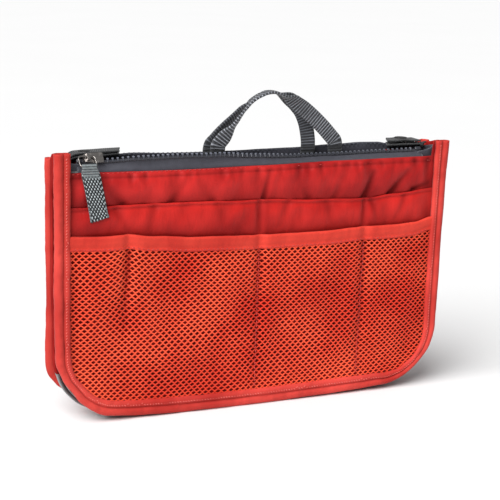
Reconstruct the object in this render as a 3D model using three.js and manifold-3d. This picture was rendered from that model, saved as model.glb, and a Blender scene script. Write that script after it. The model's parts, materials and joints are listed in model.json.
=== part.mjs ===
// Purse organizer insert: a zip-mouthed fabric box with mesh front pockets, two webbing
// handles and snap straps that hold the pleated ends folded.
// Millimetres, +Z up, the front faces -Y. The origin is the middle of the bounding box's base.

import * as THREE from 'three';
import { mergeVertices } from 'three/addons/utils/BufferGeometryUtils.js';
import Module from 'manifold-3d';

const wasm = await Module();
wasm.setup();

// Whole body
const BODY_WIDTH = 279;
const BODY_HEIGHT = 175;
const BASE_DEPTH = 24.5;
const MOUTH_DEPTH = 27;
const CORNER_RADIUS = 40;
const CORNER_STEPS = 8;
const LAYER_GAP = 0.3;

// Edge binding, a tape folded round the raw edges
const BINDING_WIDTH = 11;
const BINDING_THICKNESS = 0.7;
const BINDING_EDGE_RADIUS = 2.4;
const BINDING_EDGE_STEPS = 4;
const SEAM_INSET = 2.7;

// Layers of the front and back walls, from the outside in
const MESH_THICKNESS = 0.5;
const HEM_THICKNESS = 0.9;
const POCKET_CLOTH_THICKNESS = 0.4;
const SHELL_THICKNESS = 0.5;
const FOAM_THICKNESS = 1.2;
const LINING_THICKNESS = 0.4;
const GUSSET_THICKNESS = 0.5;
const FOAM_SIDE_MARGIN = 13;
const FOAM_TOP_MARGIN = 21;

// Upper edge of the walls and pockets
const WALL_TOP_DROP = 12;
const CORNER_TAB_DROP = 1.5;
const SLIP_POCKET_DROP = 34;
const SLIP_POCKET_HEIGHT = BODY_HEIGHT - SLIP_POCKET_DROP;
const MESH_HEM_DROP = 58;
const MESH_HEM_TOP = BODY_HEIGHT - MESH_HEM_DROP;
const MESH_HEM_SAG = 5;
const MESH_HEM_HEIGHT = 9.5;
const BACK_POCKET_DROP = 49;
const BACK_POCKET_HEIGHT = BODY_HEIGHT - BACK_POCKET_DROP;
const INNER_POCKET_END_MARGIN = 41.5;
const INNER_POCKET_WIDTH = BODY_WIDTH - 2 * INNER_POCKET_END_MARGIN;
const INNER_POCKET_BASE = 40;
const INNER_POCKET_DROP = 53;
const INNER_POCKET_TOP = BODY_HEIGHT - INNER_POCKET_DROP;
const POCKET_BULGE = 2.6;
const SLIP_BULGE_SHARE = 0.4;
const POCKET_SEAM_X = [0, 79];
const BACK_POCKET_SEAM_X = [0];
const BULGE_BASE_MARGIN = 6;
const BULGE_POWER = 1.6;
const POCKET_COLUMN_STEP = 13;
const POCKET_ROW_SHARES = [0, 0.12, 0.3, 0.5, 0.7, 0.85, 1];

// Net of the mesh pocket
const NET_PITCH_X = 15.2;
const NET_PITCH_Z = 14.2;
const NET_STRAND = 2;
const NET_COLUMN_STEP = 20;
const NET_ROW_SHARES = [0, 0.15, 0.4, 0.7, 1];
const NET_MARGIN = 3.2;

// End gussets and base, one pleated band
const BAND_CLEARANCE = 2;
const PLEAT_DEPTH = 23;
const GUSSET_TOP_DROP = 4.4;
const BASE_SEAM_SHARE = 0.5;

// Zip
const TAPE_THICKNESS = 0.5;
const TAPE_MARGIN = 7;
const TAPE_END_CLEARANCE = 1.8;
const CHAIN_HALF_GAP = 6.2;
const CHAIN_DROP = 6.5;
const CORD_WIDTH = 1.1;
const TOOTH_PITCH = 3.3;
const TOOTH_REACH = 1.7;
const TOOTH_THICKNESS = 2;
const TOOTH_HEAD_WIDTH = 2;
const TOOTH_NECK_WIDTH = 1.2;
const TOOTH_NECK_REACH = 0.85;
const TOOTH_FOOT = 0.35;
const TOOTH_CROWN_SHARE = 0.5;
const STOP_LENGTH = 4.5;
const STOP_THICKNESS = 2.4;
const STOP_REACH = 1.7;

// Slider
const SLIDER_END_DISTANCE = 26;
const SLIDER_CENTRE_X = SLIDER_END_DISTANCE - BODY_WIDTH / 2;
const SLIDER_LENGTH = 12.4;
const SLIDER_TAIL_HALF_WIDTH = 3.5;
const SLIDER_SHOULDER_HALF_WIDTH = 4.2;
const SLIDER_PLATE = 0.8;
const SLIDER_WALL = 0.7;
const SLIDER_TAPE_SLOT = 1.3;
const SLIDER_POST_LENGTH = 3.2;
const SLIDER_POST_HALF_WIDTH = 0.6;
const BAIL_OFFSET_X = -4;
const BAIL_WIDTH = 2;
const BAIL_SPAN = 5.4;
const BAIL_BAR = 0.9;
const RUNNING_CLEARANCE = 0.3;

// Pull ring and webbing pull
const RING_WIRE_RADIUS = 0.58;
const RING_WIDTH = 12;
const RING_HEIGHT = 9.6;
const RING_CORNER_RADIUS = 2.2;
const RING_OFFSET_X = -5.1;
const RING_HANG_ANGLE = 42;
const RING_STEPS_PER_CORNER = 5;
const RING_WIRE_SIDES = 8;
const PULL_WIDTH = 12;
const PULL_NECK_WIDTH = 7.8;
const PULL_NECK_LENGTH = 4.5;
const PULL_LENGTH = 36;
const PULL_PLY = 1.1;
const PULL_TILT = 10.5;
const PULL_LOOP_STEPS = 8;

// Handles
const WEBBING_WIDTH = 10.5;
const WEBBING_THICKNESS = 1.4;
const WEBBING_EDGE_CHAMFER = 0.4;
const FRONT_HANDLE_LEFT_X = -26.8;
const FRONT_HANDLE_RIGHT_X = 60;
const FRONT_HANDLE_RISE = 37.2;
const FRONT_HANDLE_LEAN = -7.6;
const BACK_HANDLE_LEFT_X = -31.2;
const BACK_HANDLE_RIGHT_X = 40.4;
const BACK_HANDLE_RISE = 35.6;
const BACK_HANDLE_LEAN = 5.1;
const FRONT_LEG_Y = 0.6;
const BACK_LEG_Y = 2.9;
const HANDLE_FOLD_DROP = 2;
const ROOT_SEWN_LENGTH = 9;
const ROOT_RISE = 16;
const ROOT_NECK = 4.7;
const HANDLE_STEPS = 34;
const FRONT_ARCH_SHARES = [
  [0, 0], [0.012, 0.1], [0.052, 0.24], [0.128, 0.444], [0.238, 0.81], [0.372, 1],
  [0.562, 0.864], [0.706, 0.647], [0.875, 0.337], [0.985, 0.1], [1, 0],
];
const BACK_ARCH_SHARES = [
  [0, 0], [0.015, 0.1], [0.128, 0.33], [0.234, 0.5], [0.433, 0.82], [0.626, 1],
  [0.813, 0.865], [0.892, 0.738], [0.954, 0.54], [0.99, 0.276], [1, 0],
];
const FRONT_TWIST_SHARES = [0.03, 0.36, 0.5, 0.68];
const BACK_TWIST_SHARES = [0.1, 0.42, 0.58, 0.76];

// Snap straps
const STRAP_LENGTH = 38;
const STRAP_WIDTH = 12;
const STRAP_THICKNESS = 0.7;
const STRAP_CORNER_CUT = 2;
const STRAP_ROOT_CLEARANCE = 0.3;
const STRAP_LEVEL_DROP = 4.1;
const STRAP_BACK_CLEARANCE = 0.3;
const SNAP_END_DISTANCE = 25;
const SNAP_CAP_RADIUS = 4.75;
const SNAP_CAP_HEIGHT = 1.5;
const SNAP_CAP_RIM_SHARE = 0.25;
const SNAP_DOME_STEPS = 4;
const SNAP_DISC_RADIUS = 3.7;
const SNAP_STUD_HEIGHT = 0.45;
const SNAP_SOCKET_HEIGHT = 0.45;
const SNAP_LIP_SHARE = 0.5;
const SNAP_SEGMENTS = 20;

// Colours, roughness and metalness
const RED_CLOTH = { color: 0xd03c34, roughness: 0.55, metalness: 0 };
const RED_MESH = { color: 0xe0532f, roughness: 0.6, metalness: 0 };
const RED_BINDING = { color: 0xe2473c, roughness: 0.6, metalness: 0 };
const GREY_CLOTH = { color: 0x8c9092, roughness: 0.7, metalness: 0 };
const FOAM = { color: 0xe8e6df, roughness: 0.9, metalness: 0 };
const DARK_TAPE = { color: 0x4a4a52, roughness: 0.75, metalness: 0 };
const DARK_PLASTIC = { color: 0x55565e, roughness: 0.4, metalness: 0 };
const DARK_METAL = { color: 0x4c4846, roughness: 0.3, metalness: 1 };

// Outer faces of the front and back walls lean apart towards the mouth.
const FRONT = -1;
const BACK = 1;
const depthAt = z => BASE_DEPTH + (MOUTH_DEPTH - BASE_DEPTH) * z / BODY_HEIGHT;
const wallY = (side, z, inset) => side * (depthAt(z) / 2 - inset);

// Distance of each layer's outer face from the binding's outer face
const BINDING_INSIDE = BINDING_THICKNESS + LAYER_GAP;
const HEM_INSET = BINDING_INSIDE;
const MESH_INSET = HEM_INSET + (HEM_THICKNESS - MESH_THICKNESS) / 2;
const SLIP_INSET = HEM_INSET + HEM_THICKNESS + LAYER_GAP;
const SHELL_INSET = SLIP_INSET + POCKET_CLOTH_THICKNESS + LAYER_GAP;
const FOAM_INSET = SHELL_INSET + SHELL_THICKNESS + LAYER_GAP;
const LINING_INSET = FOAM_INSET + FOAM_THICKNESS + LAYER_GAP;
const BAND_INSET = LINING_INSET + LINING_THICKNESS + LAYER_GAP;
const FOLD_INSET = BAND_INSET + GUSSET_THICKNESS + LAYER_GAP;
const BINDING_DEPTH = BAND_INSET + GUSSET_THICKNESS + BINDING_INSIDE;
const TAPE_INSET = SHELL_INSET + SHELL_THICKNESS + LAYER_GAP;

const WALL_TOP = BODY_HEIGHT - WALL_TOP_DROP;
const HALF_WIDTH = BODY_WIDTH / 2;
const BINDING_EDGE_X = HALF_WIDTH - BINDING_WIDTH;
const BAND_INSET_S = BINDING_WIDTH + BAND_CLEARANCE;

// Turns a closed triangle list the right way out and gives it flat normals.
function finishGeometry(positions, indices) {
  let volume = 0;
  const a = new THREE.Vector3();
  const b = new THREE.Vector3();
  const c = new THREE.Vector3();
  for (let i = 0; i < indices.length; i += 3) {
    a.fromArray(positions, 3 * indices[i]);
    b.fromArray(positions, 3 * indices[i + 1]);
    c.fromArray(positions, 3 * indices[i + 2]);
    volume += a.dot(b.cross(c));
  }
  const out = volume < 0 ? indices.slice().reverse() : indices;
  const geometry = new THREE.BufferGeometry();
  geometry.setAttribute('position', new THREE.Float32BufferAttribute(positions, 3));
  geometry.setIndex(out);
  geometry.computeVertexNormals();
  return geometry;
}

// Skins a list of rings, each a list of points, and closes both ends with the profile's triangles.
function loft(profile, rings, closed = false) {
  const count = profile.length;
  const positions = [];
  for (const p of rings.flat()) positions.push(p.x, p.y, p.z);
  const indices = [];
  const spans = closed ? rings.length : rings.length - 1;
  for (let r = 0; r < spans; r++) {
    const next = (r + 1) % rings.length;
    for (let k = 0; k < count; k++) {
      const l = (k + 1) % count;
      indices.push(r * count + k, r * count + l, next * count + l);
      indices.push(r * count + k, next * count + l, next * count + k);
    }
  }
  if (!closed) {
    const turned = THREE.ShapeUtils.isClockWise(profile);
    const faces = THREE.ShapeUtils.triangulateShape(profile, []);
    const last = (rings.length - 1) * count;
    for (const [i, j, k] of faces) {
      const low = turned ? [i, j, k] : [i, k, j];
      indices.push(...low);
      indices.push(last + low[0], last + low[2], last + low[1]);
    }
  }
  return finishGeometry(positions, indices);
}

// A bar along X with one section given as [y, z] points
function barAlongX(section, x0, x1) {
  const profile = section.map(([y, z]) => new THREE.Vector2(y, z));
  const rings = [x0, x1].map(x => section.map(([y, z]) => new THREE.Vector3(x, y, z)));
  return loft(profile, rings);
}

// Height of the rounded lower outline at x, for an outline inset by s
function outlineBase(x, s) {
  const radius = CORNER_RADIUS - s;
  const across = Math.abs(x) - (HALF_WIDTH - CORNER_RADIUS);
  if (across <= 0) return s;
  return CORNER_RADIUS - Math.sqrt(Math.max(0, radius * radius - across * across));
}

// Columns of a sheet: the corner arc's points, the seams and even steps between
function sheetColumns(s, seams, step) {
  const edge = HALF_WIDTH - s;
  const radius = CORNER_RADIUS - s;
  const straight = edge - radius;
  const columns = [];
  for (let i = 0; i <= CORNER_STEPS; i++) {
    columns.push(straight + radius * Math.sin(Math.PI / 2 * i / CORNER_STEPS));
  }
  const all = [...columns.map(x => -x), ...columns];
  const stops = [-straight, ...seams, straight];
  for (let i = 0; i + 1 < stops.length; i++) {
    const parts = Math.max(1, Math.round((stops[i + 1] - stops[i]) / step));
    for (let k = 1; k < parts; k++) all.push(stops[i] + (stops[i + 1] - stops[i]) * k / parts);
    if (i > 0) all.push(stops[i]);
  }
  return [...new Set(all)].sort((p, q) => p - q);
}

// A cloth sheet that stands in a wall: columns run from the rounded base up to topAt(x).
function sheet({ side, s, columns, rows, topAt, insetAt, thickness }) {
  const positions = [];
  const indices = [];
  const wide = columns.length;
  const high = rows.length;
  for (const face of [0, thickness]) {
    for (const x of columns) {
      const low = outlineBase(x, s);
      for (const share of rows) {
        const z = low + (topAt(x) - low) * share;
        positions.push(x, wallY(side, z, insetAt(x, z) + face), z);
      }
    }
  }
  const at = (face, i, j) => face * wide * high + i * high + j;
  for (let i = 0; i + 1 < wide; i++) {
    for (let j = 0; j + 1 < high; j++) {
      indices.push(at(0, i, j), at(0, i + 1, j), at(0, i + 1, j + 1));
      indices.push(at(0, i, j), at(0, i + 1, j + 1), at(0, i, j + 1));
      indices.push(at(1, i, j), at(1, i + 1, j + 1), at(1, i + 1, j));
      indices.push(at(1, i, j), at(1, i, j + 1), at(1, i + 1, j + 1));
    }
  }
  const rim = [];
  for (let i = 0; i < wide; i++) rim.push([i, 0]);
  for (let j = 1; j < high; j++) rim.push([wide - 1, j]);
  for (let i = wide - 2; i >= 0; i--) rim.push([i, high - 1]);
  for (let j = high - 2; j > 0; j--) rim.push([0, j]);
  for (let k = 0; k < rim.length; k++) {
    const [i, j] = rim[k];
    const [m, n] = rim[(k + 1) % rim.length];
    indices.push(at(0, i, j), at(1, i, j), at(1, m, n));
    indices.push(at(0, i, j), at(1, m, n), at(0, m, n));
  }
  return finishGeometry(positions, indices);
}

// How far a pocket stands off its wall: nothing at the seams, most in the middle of each bay
const POCKET_EDGE = BINDING_WIDTH + NET_MARGIN;

const hemTopAt = x => MESH_HEM_TOP + MESH_HEM_SAG * (x / HALF_WIDTH) ** 2;

function bulgeAt(x, z, seams, top) {
  const stops = [POCKET_EDGE - HALF_WIDTH, ...seams, HALF_WIDTH - POCKET_EDGE];
  const bay = stops.findIndex((stop, i) => x >= stop && x <= stops[i + 1]);
  if (bay < 0 || bay + 1 >= stops.length) return 0;
  const along = (x - stops[bay]) / (stops[bay + 1] - stops[bay]);
  const base = outlineBase(x, POCKET_EDGE) + BULGE_BASE_MARGIN;
  const up = THREE.MathUtils.clamp((z - base) / (top - base), 0, 1);
  return POCKET_BULGE * Math.sin(Math.PI * along) ** BULGE_POWER * Math.sin(Math.PI / 2 * up);
}

// Stations round the body's outline: top left, down, along the base and up to the top right
function outlineStations(from, to, topZ) {
  const straight = HALF_WIDTH - CORNER_RADIUS;
  const stations = [];
  const corner = (sign, angle) => ({
    x: sign * straight + sign * CORNER_RADIUS * Math.sin(angle),
    z: CORNER_RADIUS - CORNER_RADIUS * Math.cos(angle),
    nx: -sign * Math.sin(angle),
    nz: Math.cos(angle),
  });
  stations.push({ at: 0, x: -HALF_WIDTH, z: topZ, nx: 1, nz: 0 });
  for (let i = 0; i <= CORNER_STEPS; i++) {
    const share = i / CORNER_STEPS;
    stations.push({ at: 1 + share, ...corner(-1, Math.PI / 2 * (1 - share)) });
  }
  for (let i = 0; i <= CORNER_STEPS; i++) {
    const share = i / CORNER_STEPS;
    stations.push({ at: 3 + share, ...corner(1, Math.PI / 2 * share) });
  }
  stations.push({ at: 5, x: HALF_WIDTH, z: topZ, nx: -1, nz: 0 });
  return stations.filter(station => station.at >= from && station.at <= to);
}

// Sweeps a section of [side, inset from the outline, inset from the wall face] round the outline.
function sweepOutline(section, stations) {
  const profile = section.map(([side, s, inset]) => new THREE.Vector2(s, wallY(side, 0, inset)));
  const rings = stations.map(({ x, z, nx, nz }) => section.map(([side, s, inset]) => {
    const pz = z + s * nz;
    return new THREE.Vector3(x + s * nx, wallY(side, pz, inset), pz);
  }));
  return loft(profile, rings);
}

function bindingSection(side) {
  const r = BINDING_EDGE_RADIUS;
  const outer = [];
  for (let i = 0; i <= BINDING_EDGE_STEPS; i++) {
    const angle = Math.PI / 2 * i / BINDING_EDGE_STEPS;
    outer.push([side, r - r * Math.sin(angle), r - r * Math.cos(angle)]);
  }
  const far = outer.map(([, s, inset]) => [side, s, BINDING_DEPTH - inset]).reverse();
  const w = BINDING_THICKNESS;
  return [
    [side, BINDING_WIDTH, 0],
    ...outer,
    ...far,
    [side, BINDING_WIDTH, BINDING_DEPTH],
    [side, BINDING_WIDTH, BINDING_DEPTH - w],
    [side, r, BINDING_DEPTH - w],
    [side, w, BINDING_DEPTH - r],
    [side, w, r],
    [side, r, w],
    [side, BINDING_WIDTH, w],
  ];
}

// The gusset band: sewn edge, across to the back, folded flat along the back wall, sewn edge
function bandSection() {
  const near = BAND_INSET_S;
  const far = near + GUSSET_THICKNESS;
  const crease = near + PLEAT_DEPTH;
  const outerFace = BAND_INSET;
  const innerFace = BAND_INSET + GUSSET_THICKNESS;
  const foldInner = FOLD_INSET + GUSSET_THICKNESS;
  return [
    [FRONT, SEAM_INSET, innerFace],
    [FRONT, near, innerFace],
    [BACK, near, FOLD_INSET],
    [BACK, crease - GUSSET_THICKNESS, FOLD_INSET],
    [BACK, crease - GUSSET_THICKNESS, innerFace],
    [BACK, SEAM_INSET, innerFace],
    [BACK, SEAM_INSET, outerFace],
    [BACK, crease, outerFace],
    [BACK, crease, foldInner],
    [BACK, far, foldInner],
    [FRONT, far, outerFace],
    [FRONT, SEAM_INSET, outerFace],
  ];
}

// Walls: shell, foam and lining share one outline, and the foam stops short of the seams.
function wallTopAt(x) {
  const inBinding = Math.abs(x) > BINDING_EDGE_X + LAYER_GAP;
  return inBinding ? BODY_HEIGHT - CORNER_TAB_DROP : WALL_TOP;
}

function wallColumns() {
  const edge = BINDING_EDGE_X;
  const columns = sheetColumns(SEAM_INSET, [], BODY_WIDTH);
  const steps = [edge, edge + 2 * LAYER_GAP];
  return [...columns, ...steps, ...steps.map(x => -x)].sort((p, q) => p - q);
}

function wallSheet(side, inset, thickness) {
  return sheet({
    side,
    s: SEAM_INSET,
    columns: wallColumns(),
    rows: [0, 1],
    topAt: wallTopAt,
    insetAt: () => inset,
    thickness,
  });
}

function foamSheet(side) {
  return sheet({
    side,
    s: FOAM_SIDE_MARGIN,
    columns: sheetColumns(FOAM_SIDE_MARGIN, [], BODY_WIDTH),
    rows: [0, 1],
    topAt: () => BODY_HEIGHT - FOAM_TOP_MARGIN,
    insetAt: () => FOAM_INSET,
    thickness: FOAM_THICKNESS,
  });
}

function pocketSheet(side, height, seams) {
  return sheet({
    side,
    s: SEAM_INSET,
    columns: sheetColumns(SEAM_INSET, seams, POCKET_COLUMN_STEP),
    rows: POCKET_ROW_SHARES,
    topAt: () => height,
    insetAt: (x, z) => SLIP_INSET - SLIP_BULGE_SHARE * bulgeAt(x, z, seams, MESH_HEM_TOP),
    thickness: POCKET_CLOTH_THICKNESS,
  });
}

function meshHem() {
  const edge = HALF_WIDTH - SEAM_INSET;
  const columns = sheetColumns(SEAM_INSET, POCKET_SEAM_X, POCKET_COLUMN_STEP);
  const rings = columns.map(x => {
    const top = hemTopAt(x);
    const low = top - MESH_HEM_HEIGHT;
    const reach = z => HEM_INSET - bulgeAt(x, z, POCKET_SEAM_X, MESH_HEM_TOP);
    const point = (z, inset) => new THREE.Vector3(x, wallY(FRONT, z, inset), z);
    return [
      point(low, reach(low)),
      point(top, reach(top)),
      point(top, reach(top) + HEM_THICKNESS),
      point(low, reach(low) + HEM_THICKNESS),
    ];
  });
  const profile = rings[0].map(p => new THREE.Vector2(p.y + edge, p.z));
  return loft(profile, rings);
}

// The pocket's net: a sheet bent to the pocket's bulge with staggered diamond gaps cut through
function meshNet() {
  const topAt = x => hemTopAt(x) - MESH_HEM_HEIGHT - LAYER_GAP;
  const cloth = sheet({
    side: FRONT,
    s: SEAM_INSET,
    columns: sheetColumns(SEAM_INSET, POCKET_SEAM_X, NET_COLUMN_STEP),
    rows: NET_ROW_SHARES,
    topAt,
    insetAt: (x, z) => MESH_INSET - bulgeAt(x, z, POCKET_SEAM_X, MESH_HEM_TOP),
    thickness: MESH_THICKNESS,
  });
  const halfX = NET_PITCH_X / 2 - NET_STRAND;
  const halfZ = NET_PITCH_Z / 2 - NET_STRAND;
  const reachX = HALF_WIDTH - POCKET_EDGE;
  const top = topAt(0) - NET_MARGIN;
  const across = Math.floor(reachX / NET_PITCH_X) + 1;
  const up = Math.floor(2 * top / NET_PITCH_Z);
  const gaps = [];
  for (let j = 0; j <= up; j++) {
    const z = top - halfZ - j * NET_PITCH_Z / 2;
    const shift = j % 2 ? NET_PITCH_X / 2 : 0;
    for (let i = -across; i <= across; i++) {
      const x = i * NET_PITCH_X + shift;
      const outside = Math.abs(x) + halfX > reachX;
      const low = outlineBase(Math.abs(x) + halfX / 2, POCKET_EDGE) + halfZ / 2;
      if (outside || z < low || z - halfZ < outlineBase(x, POCKET_EDGE)) continue;
      gaps.push(new THREE.Shape([
        new THREE.Vector2(x - halfX, z),
        new THREE.Vector2(x, z - halfZ),
        new THREE.Vector2(x + halfX, z),
        new THREE.Vector2(x, z + halfZ),
      ]));
    }
  }
  const cutters = new THREE.ExtrudeGeometry(gaps, { depth: MOUTH_DEPTH, bevelEnabled: false });
  cutters.rotateX(Math.PI / 2);
  return fromManifold(toManifold(cloth).subtract(toManifold(cutters)));
}

// Zip: each tape stands up from its wall and leans in to the chain.
const CHAIN_Z = BODY_HEIGHT - CHAIN_DROP;
const TAPE_BEND_Z = WALL_TOP + LAYER_GAP;
const TAPE_MID_INSET = TAPE_INSET + TAPE_THICKNESS / 2;
const bendY = wallY(BACK, TAPE_BEND_Z, TAPE_MID_INSET);
const leanLength = Math.hypot(bendY - CHAIN_HALF_GAP, CHAIN_Z - TAPE_BEND_Z);
const LEAN_IN = (bendY - CHAIN_HALF_GAP) / leanLength;
const LEAN_UP = (CHAIN_Z - TAPE_BEND_Z) / leanLength;
const TAPE_END_X = HALF_WIDTH - BAND_INSET_S - TAPE_END_CLEARANCE;

// A point of the chain's own axes: out is away from the mouth, reach is across it from the cord.
function chainPoint(side, reach, out) {
  const y = side * (CHAIN_HALF_GAP - reach * LEAN_IN + out * LEAN_UP);
  return [y, CHAIN_Z + reach * LEAN_UP + out * LEAN_IN];
}

function zipTape(side) {
  const half = TAPE_THICKNESS / 2;
  const low = WALL_TOP - TAPE_MARGIN;
  const end = -(CORD_WIDTH - TOOTH_FOOT + LAYER_GAP);
  const bend = -leanLength;
  const face = offset => [
    [wallY(side, low, TAPE_MID_INSET - offset), low],
    chainPoint(side, bend, offset),
    chainPoint(side, end, offset),
  ];
  const section = [...face(half), ...face(-half).reverse()];
  return barAlongX(section, -TAPE_END_X, TAPE_END_X);
}

function toManifold(geometry) {
  const bare = geometry.clone();
  bare.deleteAttribute('normal');
  bare.deleteAttribute('uv');
  const merged = mergeVertices(bare);
  return new wasm.Manifold(new wasm.Mesh({
    numProp: 3,
    vertProperties: new Float32Array(merged.attributes.position.array),
    triVerts: new Uint32Array(merged.index.array),
  }));
}

function fromManifold(solid) {
  const { vertProperties, triVerts } = solid.getMesh();
  return finishGeometry(Array.from(vertProperties), Array.from(triVerts));
}

function joined(geometries) {
  return fromManifold(geometries.map(toManifold).reduce((sum, solid) => sum.add(solid)));
}

const CHAIN_START_X = -TAPE_END_X + STOP_LENGTH + LAYER_GAP;
const CHAIN_END_X = TAPE_END_X - STOP_LENGTH - LAYER_GAP;

// A row is a comb: moulded teeth with a narrow neck and a wide head on the tape's cord.
// Two opposed rows mesh when closed, so the back row stands half a pitch on.
function toothRow(side) {
  const head = TOOTH_HEAD_WIDTH / 2;
  const neck = TOOTH_NECK_WIDTH / 2;
  const crown = head * TOOTH_CROWN_SHARE;
  const shift = side === BACK ? TOOTH_PITCH / 2 : 0;
  const cordEdge = TOOTH_FOOT - CORD_WIDTH;
  const outline = [[CHAIN_START_X, TOOTH_FOOT], [CHAIN_START_X, cordEdge]];
  outline.push([CHAIN_END_X, cordEdge], [CHAIN_END_X, TOOTH_FOOT]);
  const teeth = [];
  const first = CHAIN_START_X + TOOTH_HEAD_WIDTH + shift;
  for (let x = first; x <= CHAIN_END_X - TOOTH_HEAD_WIDTH; x += TOOTH_PITCH) {
    teeth.push([x - neck, TOOTH_FOOT], [x - head, TOOTH_NECK_REACH], [x - crown, TOOTH_REACH]);
    teeth.push([x + crown, TOOTH_REACH], [x + head, TOOTH_NECK_REACH], [x + neck, TOOTH_FOOT]);
  }
  outline.push(...teeth.reverse());
  const profile = outline.map(([x, reach]) => new THREE.Vector2(x, reach));
  const rings = [-TOOTH_THICKNESS / 2, TOOTH_THICKNESS / 2].map(out => outline.map(([x, reach]) => {
    const [y, z] = chainPoint(side, reach, out);
    return new THREE.Vector3(x, y, z);
  }));
  return loft(profile, rings);
}

// A moulded stop closes each end of a row.
function zipStop(side, end) {
  const half = STOP_THICKNESS / 2;
  const back = TOOTH_FOOT - CORD_WIDTH;
  const section = [
    chainPoint(side, back, -half),
    chainPoint(side, STOP_REACH, -half),
    chainPoint(side, STOP_REACH, half),
    chainPoint(side, back, half),
  ];
  const outer = end * TAPE_END_X;
  return barAlongX(section, outer, outer - end * STOP_LENGTH);
}

// Slider: two plates with side walls, a post between their shoulders and a bail for the ring
const SLIDER_REACH = TOOTH_REACH + RUNNING_CLEARANCE + SLIDER_POST_HALF_WIDTH;
const SLIDER_CHANNEL = TOOTH_THICKNESS / 2 + RUNNING_CLEARANCE;
const SLIDER_FACE = SLIDER_CHANNEL + SLIDER_PLATE;
const BAIL_HEIGHT = RUNNING_CLEARANCE * 2 + RING_WIRE_RADIUS * 2;

// A prism drawn in the chain's plane, x along it and reach across it, from out0 to out1
function chainPrism(outline, out0, out1) {
  const profile = outline.map(([x, reach]) => new THREE.Vector2(x, reach));
  const rings = [out0, out1].map(out => outline.map(([x, reach]) => {
    const [y, z] = chainPoint(FRONT, SLIDER_REACH + reach, out);
    return new THREE.Vector3(x, y, z);
  }));
  return loft(profile, rings);
}

function sliderBody() {
  const tail = SLIDER_CENTRE_X - SLIDER_LENGTH / 2;
  const nose = SLIDER_CENTRE_X + SLIDER_LENGTH / 2;
  const narrow = SLIDER_TAIL_HALF_WIDTH;
  const wide = SLIDER_SHOULDER_HALF_WIDTH;
  const waist = SLIDER_CENTRE_X;
  const bevel = SLIDER_WALL;
  const plate = [
    [tail + bevel, -narrow], [waist, -wide], [nose - bevel, -wide], [nose, -wide + bevel],
    [nose, wide - bevel], [nose - bevel, wide], [waist, wide], [tail + bevel, narrow],
    [tail, narrow - bevel], [tail, bevel - narrow],
  ];
  const wall = sign => [
    [waist, sign * wide], [nose - bevel, sign * wide],
    [nose - bevel, sign * (wide - SLIDER_WALL)], [waist, sign * (wide - SLIDER_WALL)],
  ];
  const slot = SLIDER_TAPE_SLOT / 2;
  const postNose = nose - bevel;
  const postWaist = postNose - SLIDER_POST_LENGTH / 2;
  const post = [
    [postNose - SLIDER_POST_LENGTH, 0], [postWaist, -SLIDER_POST_HALF_WIDTH],
    [postNose, 0], [postWaist, SLIDER_POST_HALF_WIDTH],
  ];
  const overlap = SLIDER_PLATE / 2;
  const pieces = [
    chainPrism(plate, SLIDER_CHANNEL, SLIDER_FACE),
    chainPrism(plate, -SLIDER_FACE, -SLIDER_CHANNEL),
    chainPrism(post, -SLIDER_CHANNEL - overlap, SLIDER_CHANNEL + overlap),
  ];
  for (const sign of [-1, 1]) {
    pieces.push(chainPrism(wall(sign), slot, SLIDER_CHANNEL + overlap));
    pieces.push(chainPrism(wall(sign), -SLIDER_CHANNEL - overlap, -slot));
  }
  const bailX = SLIDER_CENTRE_X + BAIL_OFFSET_X;
  const foot = sign => [
    [bailX - BAIL_WIDTH / 2, sign * BAIL_SPAN / 2], [bailX + BAIL_WIDTH / 2, sign * BAIL_SPAN / 2],
    [bailX + BAIL_WIDTH / 2, sign * (BAIL_SPAN / 2 - BAIL_BAR)],
    [bailX - BAIL_WIDTH / 2, sign * (BAIL_SPAN / 2 - BAIL_BAR)],
  ];
  const bridge = [
    [bailX - BAIL_WIDTH / 2, -BAIL_SPAN / 2], [bailX + BAIL_WIDTH / 2, -BAIL_SPAN / 2],
    [bailX + BAIL_WIDTH / 2, BAIL_SPAN / 2], [bailX - BAIL_WIDTH / 2, BAIL_SPAN / 2],
  ];
  const top = SLIDER_FACE + BAIL_HEIGHT;
  pieces.push(chainPrism(bridge, top, top + BAIL_BAR));
  for (const sign of [-1, 1]) {
    pieces.push(chainPrism(foot(sign), SLIDER_FACE - overlap, top + BAIL_BAR / 2));
  }
  return joined(pieces);
}

// The ring hangs out and down from the bail.
const ringPivot = chainPoint(FRONT, SLIDER_REACH, SLIDER_FACE + RUNNING_CLEARANCE + RING_WIRE_RADIUS);
const hang = THREE.MathUtils.degToRad(RING_HANG_ANGLE);
const RING_X = SLIDER_CENTRE_X + RING_OFFSET_X;
const ringDrop = RING_HEIGHT - 2 * RING_WIRE_RADIUS;
const pullPivot = [ringPivot[0] - ringDrop * Math.cos(hang), ringPivot[1] - ringDrop * Math.sin(hang)];

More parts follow.
